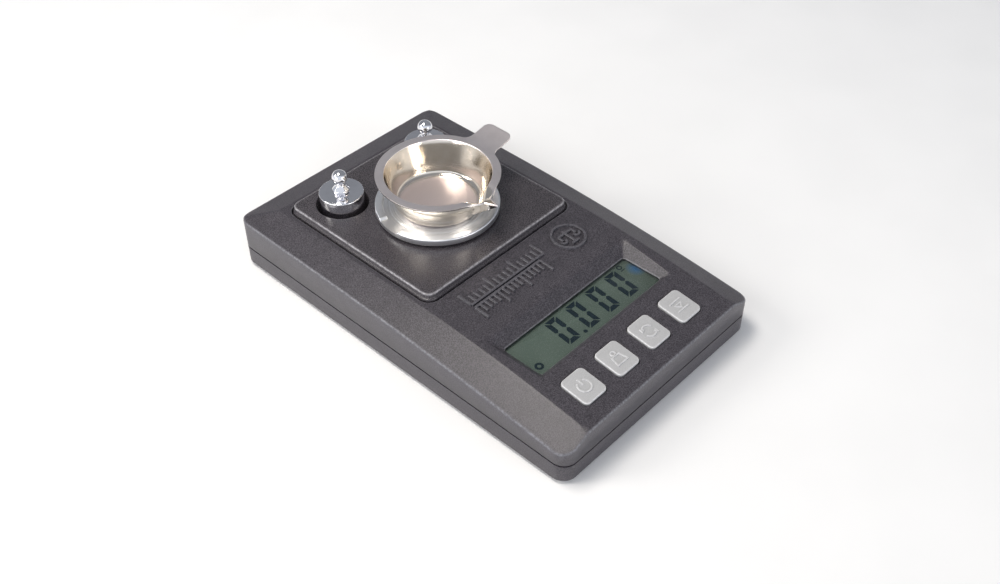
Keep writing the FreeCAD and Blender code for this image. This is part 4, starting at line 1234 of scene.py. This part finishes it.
def dress_cad_nodes():
    """Give each CAD node that still shows its slot's finish, and soften the outer ones' edges."""
    for name, node in frame["nodes"].items():
        if node.hide_render:
            continue
        node.data.materials.clear()
        node.data.materials.append(finish_for(SLOT_OF[name]))
        if name in BEVELLED:
            weld = node.modifiers.new("weld", "WELD")
            weld.merge_threshold = 0.001 * MM
            soften(node, BEVELLED[name], least_angle=40).harden_normals = True


# ---- Floor, light and camera ----

# sizes and places in metres; glow is how bright a lamp's face looks
LAMPS = [
    # name, place, width, depth, glow, colour
    ("overhead", (-0.12, 0.1, 0.56), 0.24, 0.17, 14.0, (1.0, 0.95, 0.88)),
    ("left_side", (-0.76, 0.57, 0.6), 0.3, 0.45, 9.0, (1.0, 0.96, 0.9)),
    ("left_low", (-0.9, 0.03, 0.2), 0.45, 0.3, 4.0, (1.0, 0.98, 0.95)),
    ("front_low", (0.03, -0.9, 0.2), 0.45, 0.3, 4.0, (1.0, 0.98, 0.95)),
]
LAMP_AIM = Vector((0, 0, 0.01))
DIM_HEADING = (0.58, 0.55, 1.0)            # the surroundings dim towards this heading
DIMMING = {"From Min": 0.1, "From Max": 0.5, "To Min": 0.95, "To Max": 0.3}
SKY = (0.88, 0.92, 1.0, 1)
FLOOR_SIZE = 6
FLOOR_GAP = 0.05

CAMERA_TARGET = Vector((2.0, -3.6, 0.8))
CAMERA_AZIMUTH = -46.64
CAMERA_ELEVATION = 42.78
CAMERA_ROLL = -0.33
CAMERA_DISTANCE = 373.0
CAMERA_LENS = 41.8


def floor():
    """A wide pale sheet with a barely visible grain."""
    mesh = bpy.data.meshes.new("floor")
    work = bmesh.new()
    bmesh.ops.create_grid(work, x_segments=8, y_segments=8, size=FLOOR_SIZE)
    work.to_mesh(mesh)
    work.free()
    item = place_in_scene("floor", mesh)
    item.location.z = -FLOOR_GAP * MM
    finish = Finish("floor_paper")
    cloud = finish.spread(finish.noise(40.0), 0, 1)
    finish.colour(finish.mix(cloud, (0.95, 0.95, 0.95), (0.97, 0.97, 0.97)))
    finish.roughness(finish.spread(cloud, 0.75, 0.9))
    item.data.materials.append(finish.material)


def studio():
    """Surroundings that are bright low down on the camera's side and dim overhead and behind."""
    world = bpy.data.worlds.new("studio")
    world.use_nodes = True
    nodes, link = world.node_tree.nodes, world.node_tree.links.new
    away = nodes.new("ShaderNodeVectorMath")
    away.operation = "DOT_PRODUCT"
    link(nodes.new("ShaderNodeTexCoord").outputs["Generated"], away.inputs[0])
    away.inputs[1].default_value = DIM_HEADING
    fade = nodes.new("ShaderNodeMapRange")
    link(away.outputs["Value"], fade.inputs["Value"])
    for label, value in DIMMING.items():
        fade.inputs[label].default_value = value
    background = nodes["Background"]
    background.inputs["Color"].default_value = SKY
    link(fade.outputs["Result"], background.inputs["Strength"])
    bpy.context.scene.world = world


def soft_box(name, place, width, depth, glow, colour):
    """A rectangular lamp that faces the object."""
    data = bpy.data.lights.new(name, "AREA")
    data.shape = "RECTANGLE"
    data.size, data.size_y = width, depth
    data.energy = glow * math.pi * width * depth
    data.color = colour
    lamp = place_in_scene(name, data)
    lamp.location = place
    lamp.rotation_mode = "QUATERNION"
    lamp.rotation_quaternion = (LAMP_AIM - Vector(place)).to_track_quat("-Z", "Y")


def camera():
    """A camera above the front left corner, looking down at the keys and the pan."""
    data = bpy.data.cameras.new("camera")
    data.sensor_width = 36
    data.lens = CAMERA_LENS
    data.clip_start = 0.01
    item = place_in_scene("camera", data)
    turn, rise = math.radians(CAMERA_AZIMUTH), math.radians(CAMERA_ELEVATION)
    back = Vector((math.sin(turn) * math.cos(rise), -math.cos(turn) * math.cos(rise),
                   math.sin(rise)))
    item.location = (CAMERA_TARGET + back * CAMERA_DISTANCE) * MM
    item.rotation_mode = "QUATERNION"
    roll = Matrix.Rotation(math.radians(CAMERA_ROLL), 3, "Z").to_quaternion()
    item.rotation_quaternion = (-back).to_track_quat("-Z", "Y") @ roll
    bpy.context.scene.camera = item


# ---- The whole scene ----

top_cover()
relief()
deck_plate()
platform_disc()
weighing_pan()
for weight in WEIGHT_NODES:
    calibration_weight(weight)
for key_node in KEY_NODES:
    key_cap(key_node)
    key_symbol(key_node, KEY_SYMBOLS[key_node])
display()
dress_cad_nodes()
floor()
studio()
for lamp_settings in LAMPS:
    soft_box(*lamp_settings)
camera()
bpy.context.scene.view_settings.view_transform = "Standard"
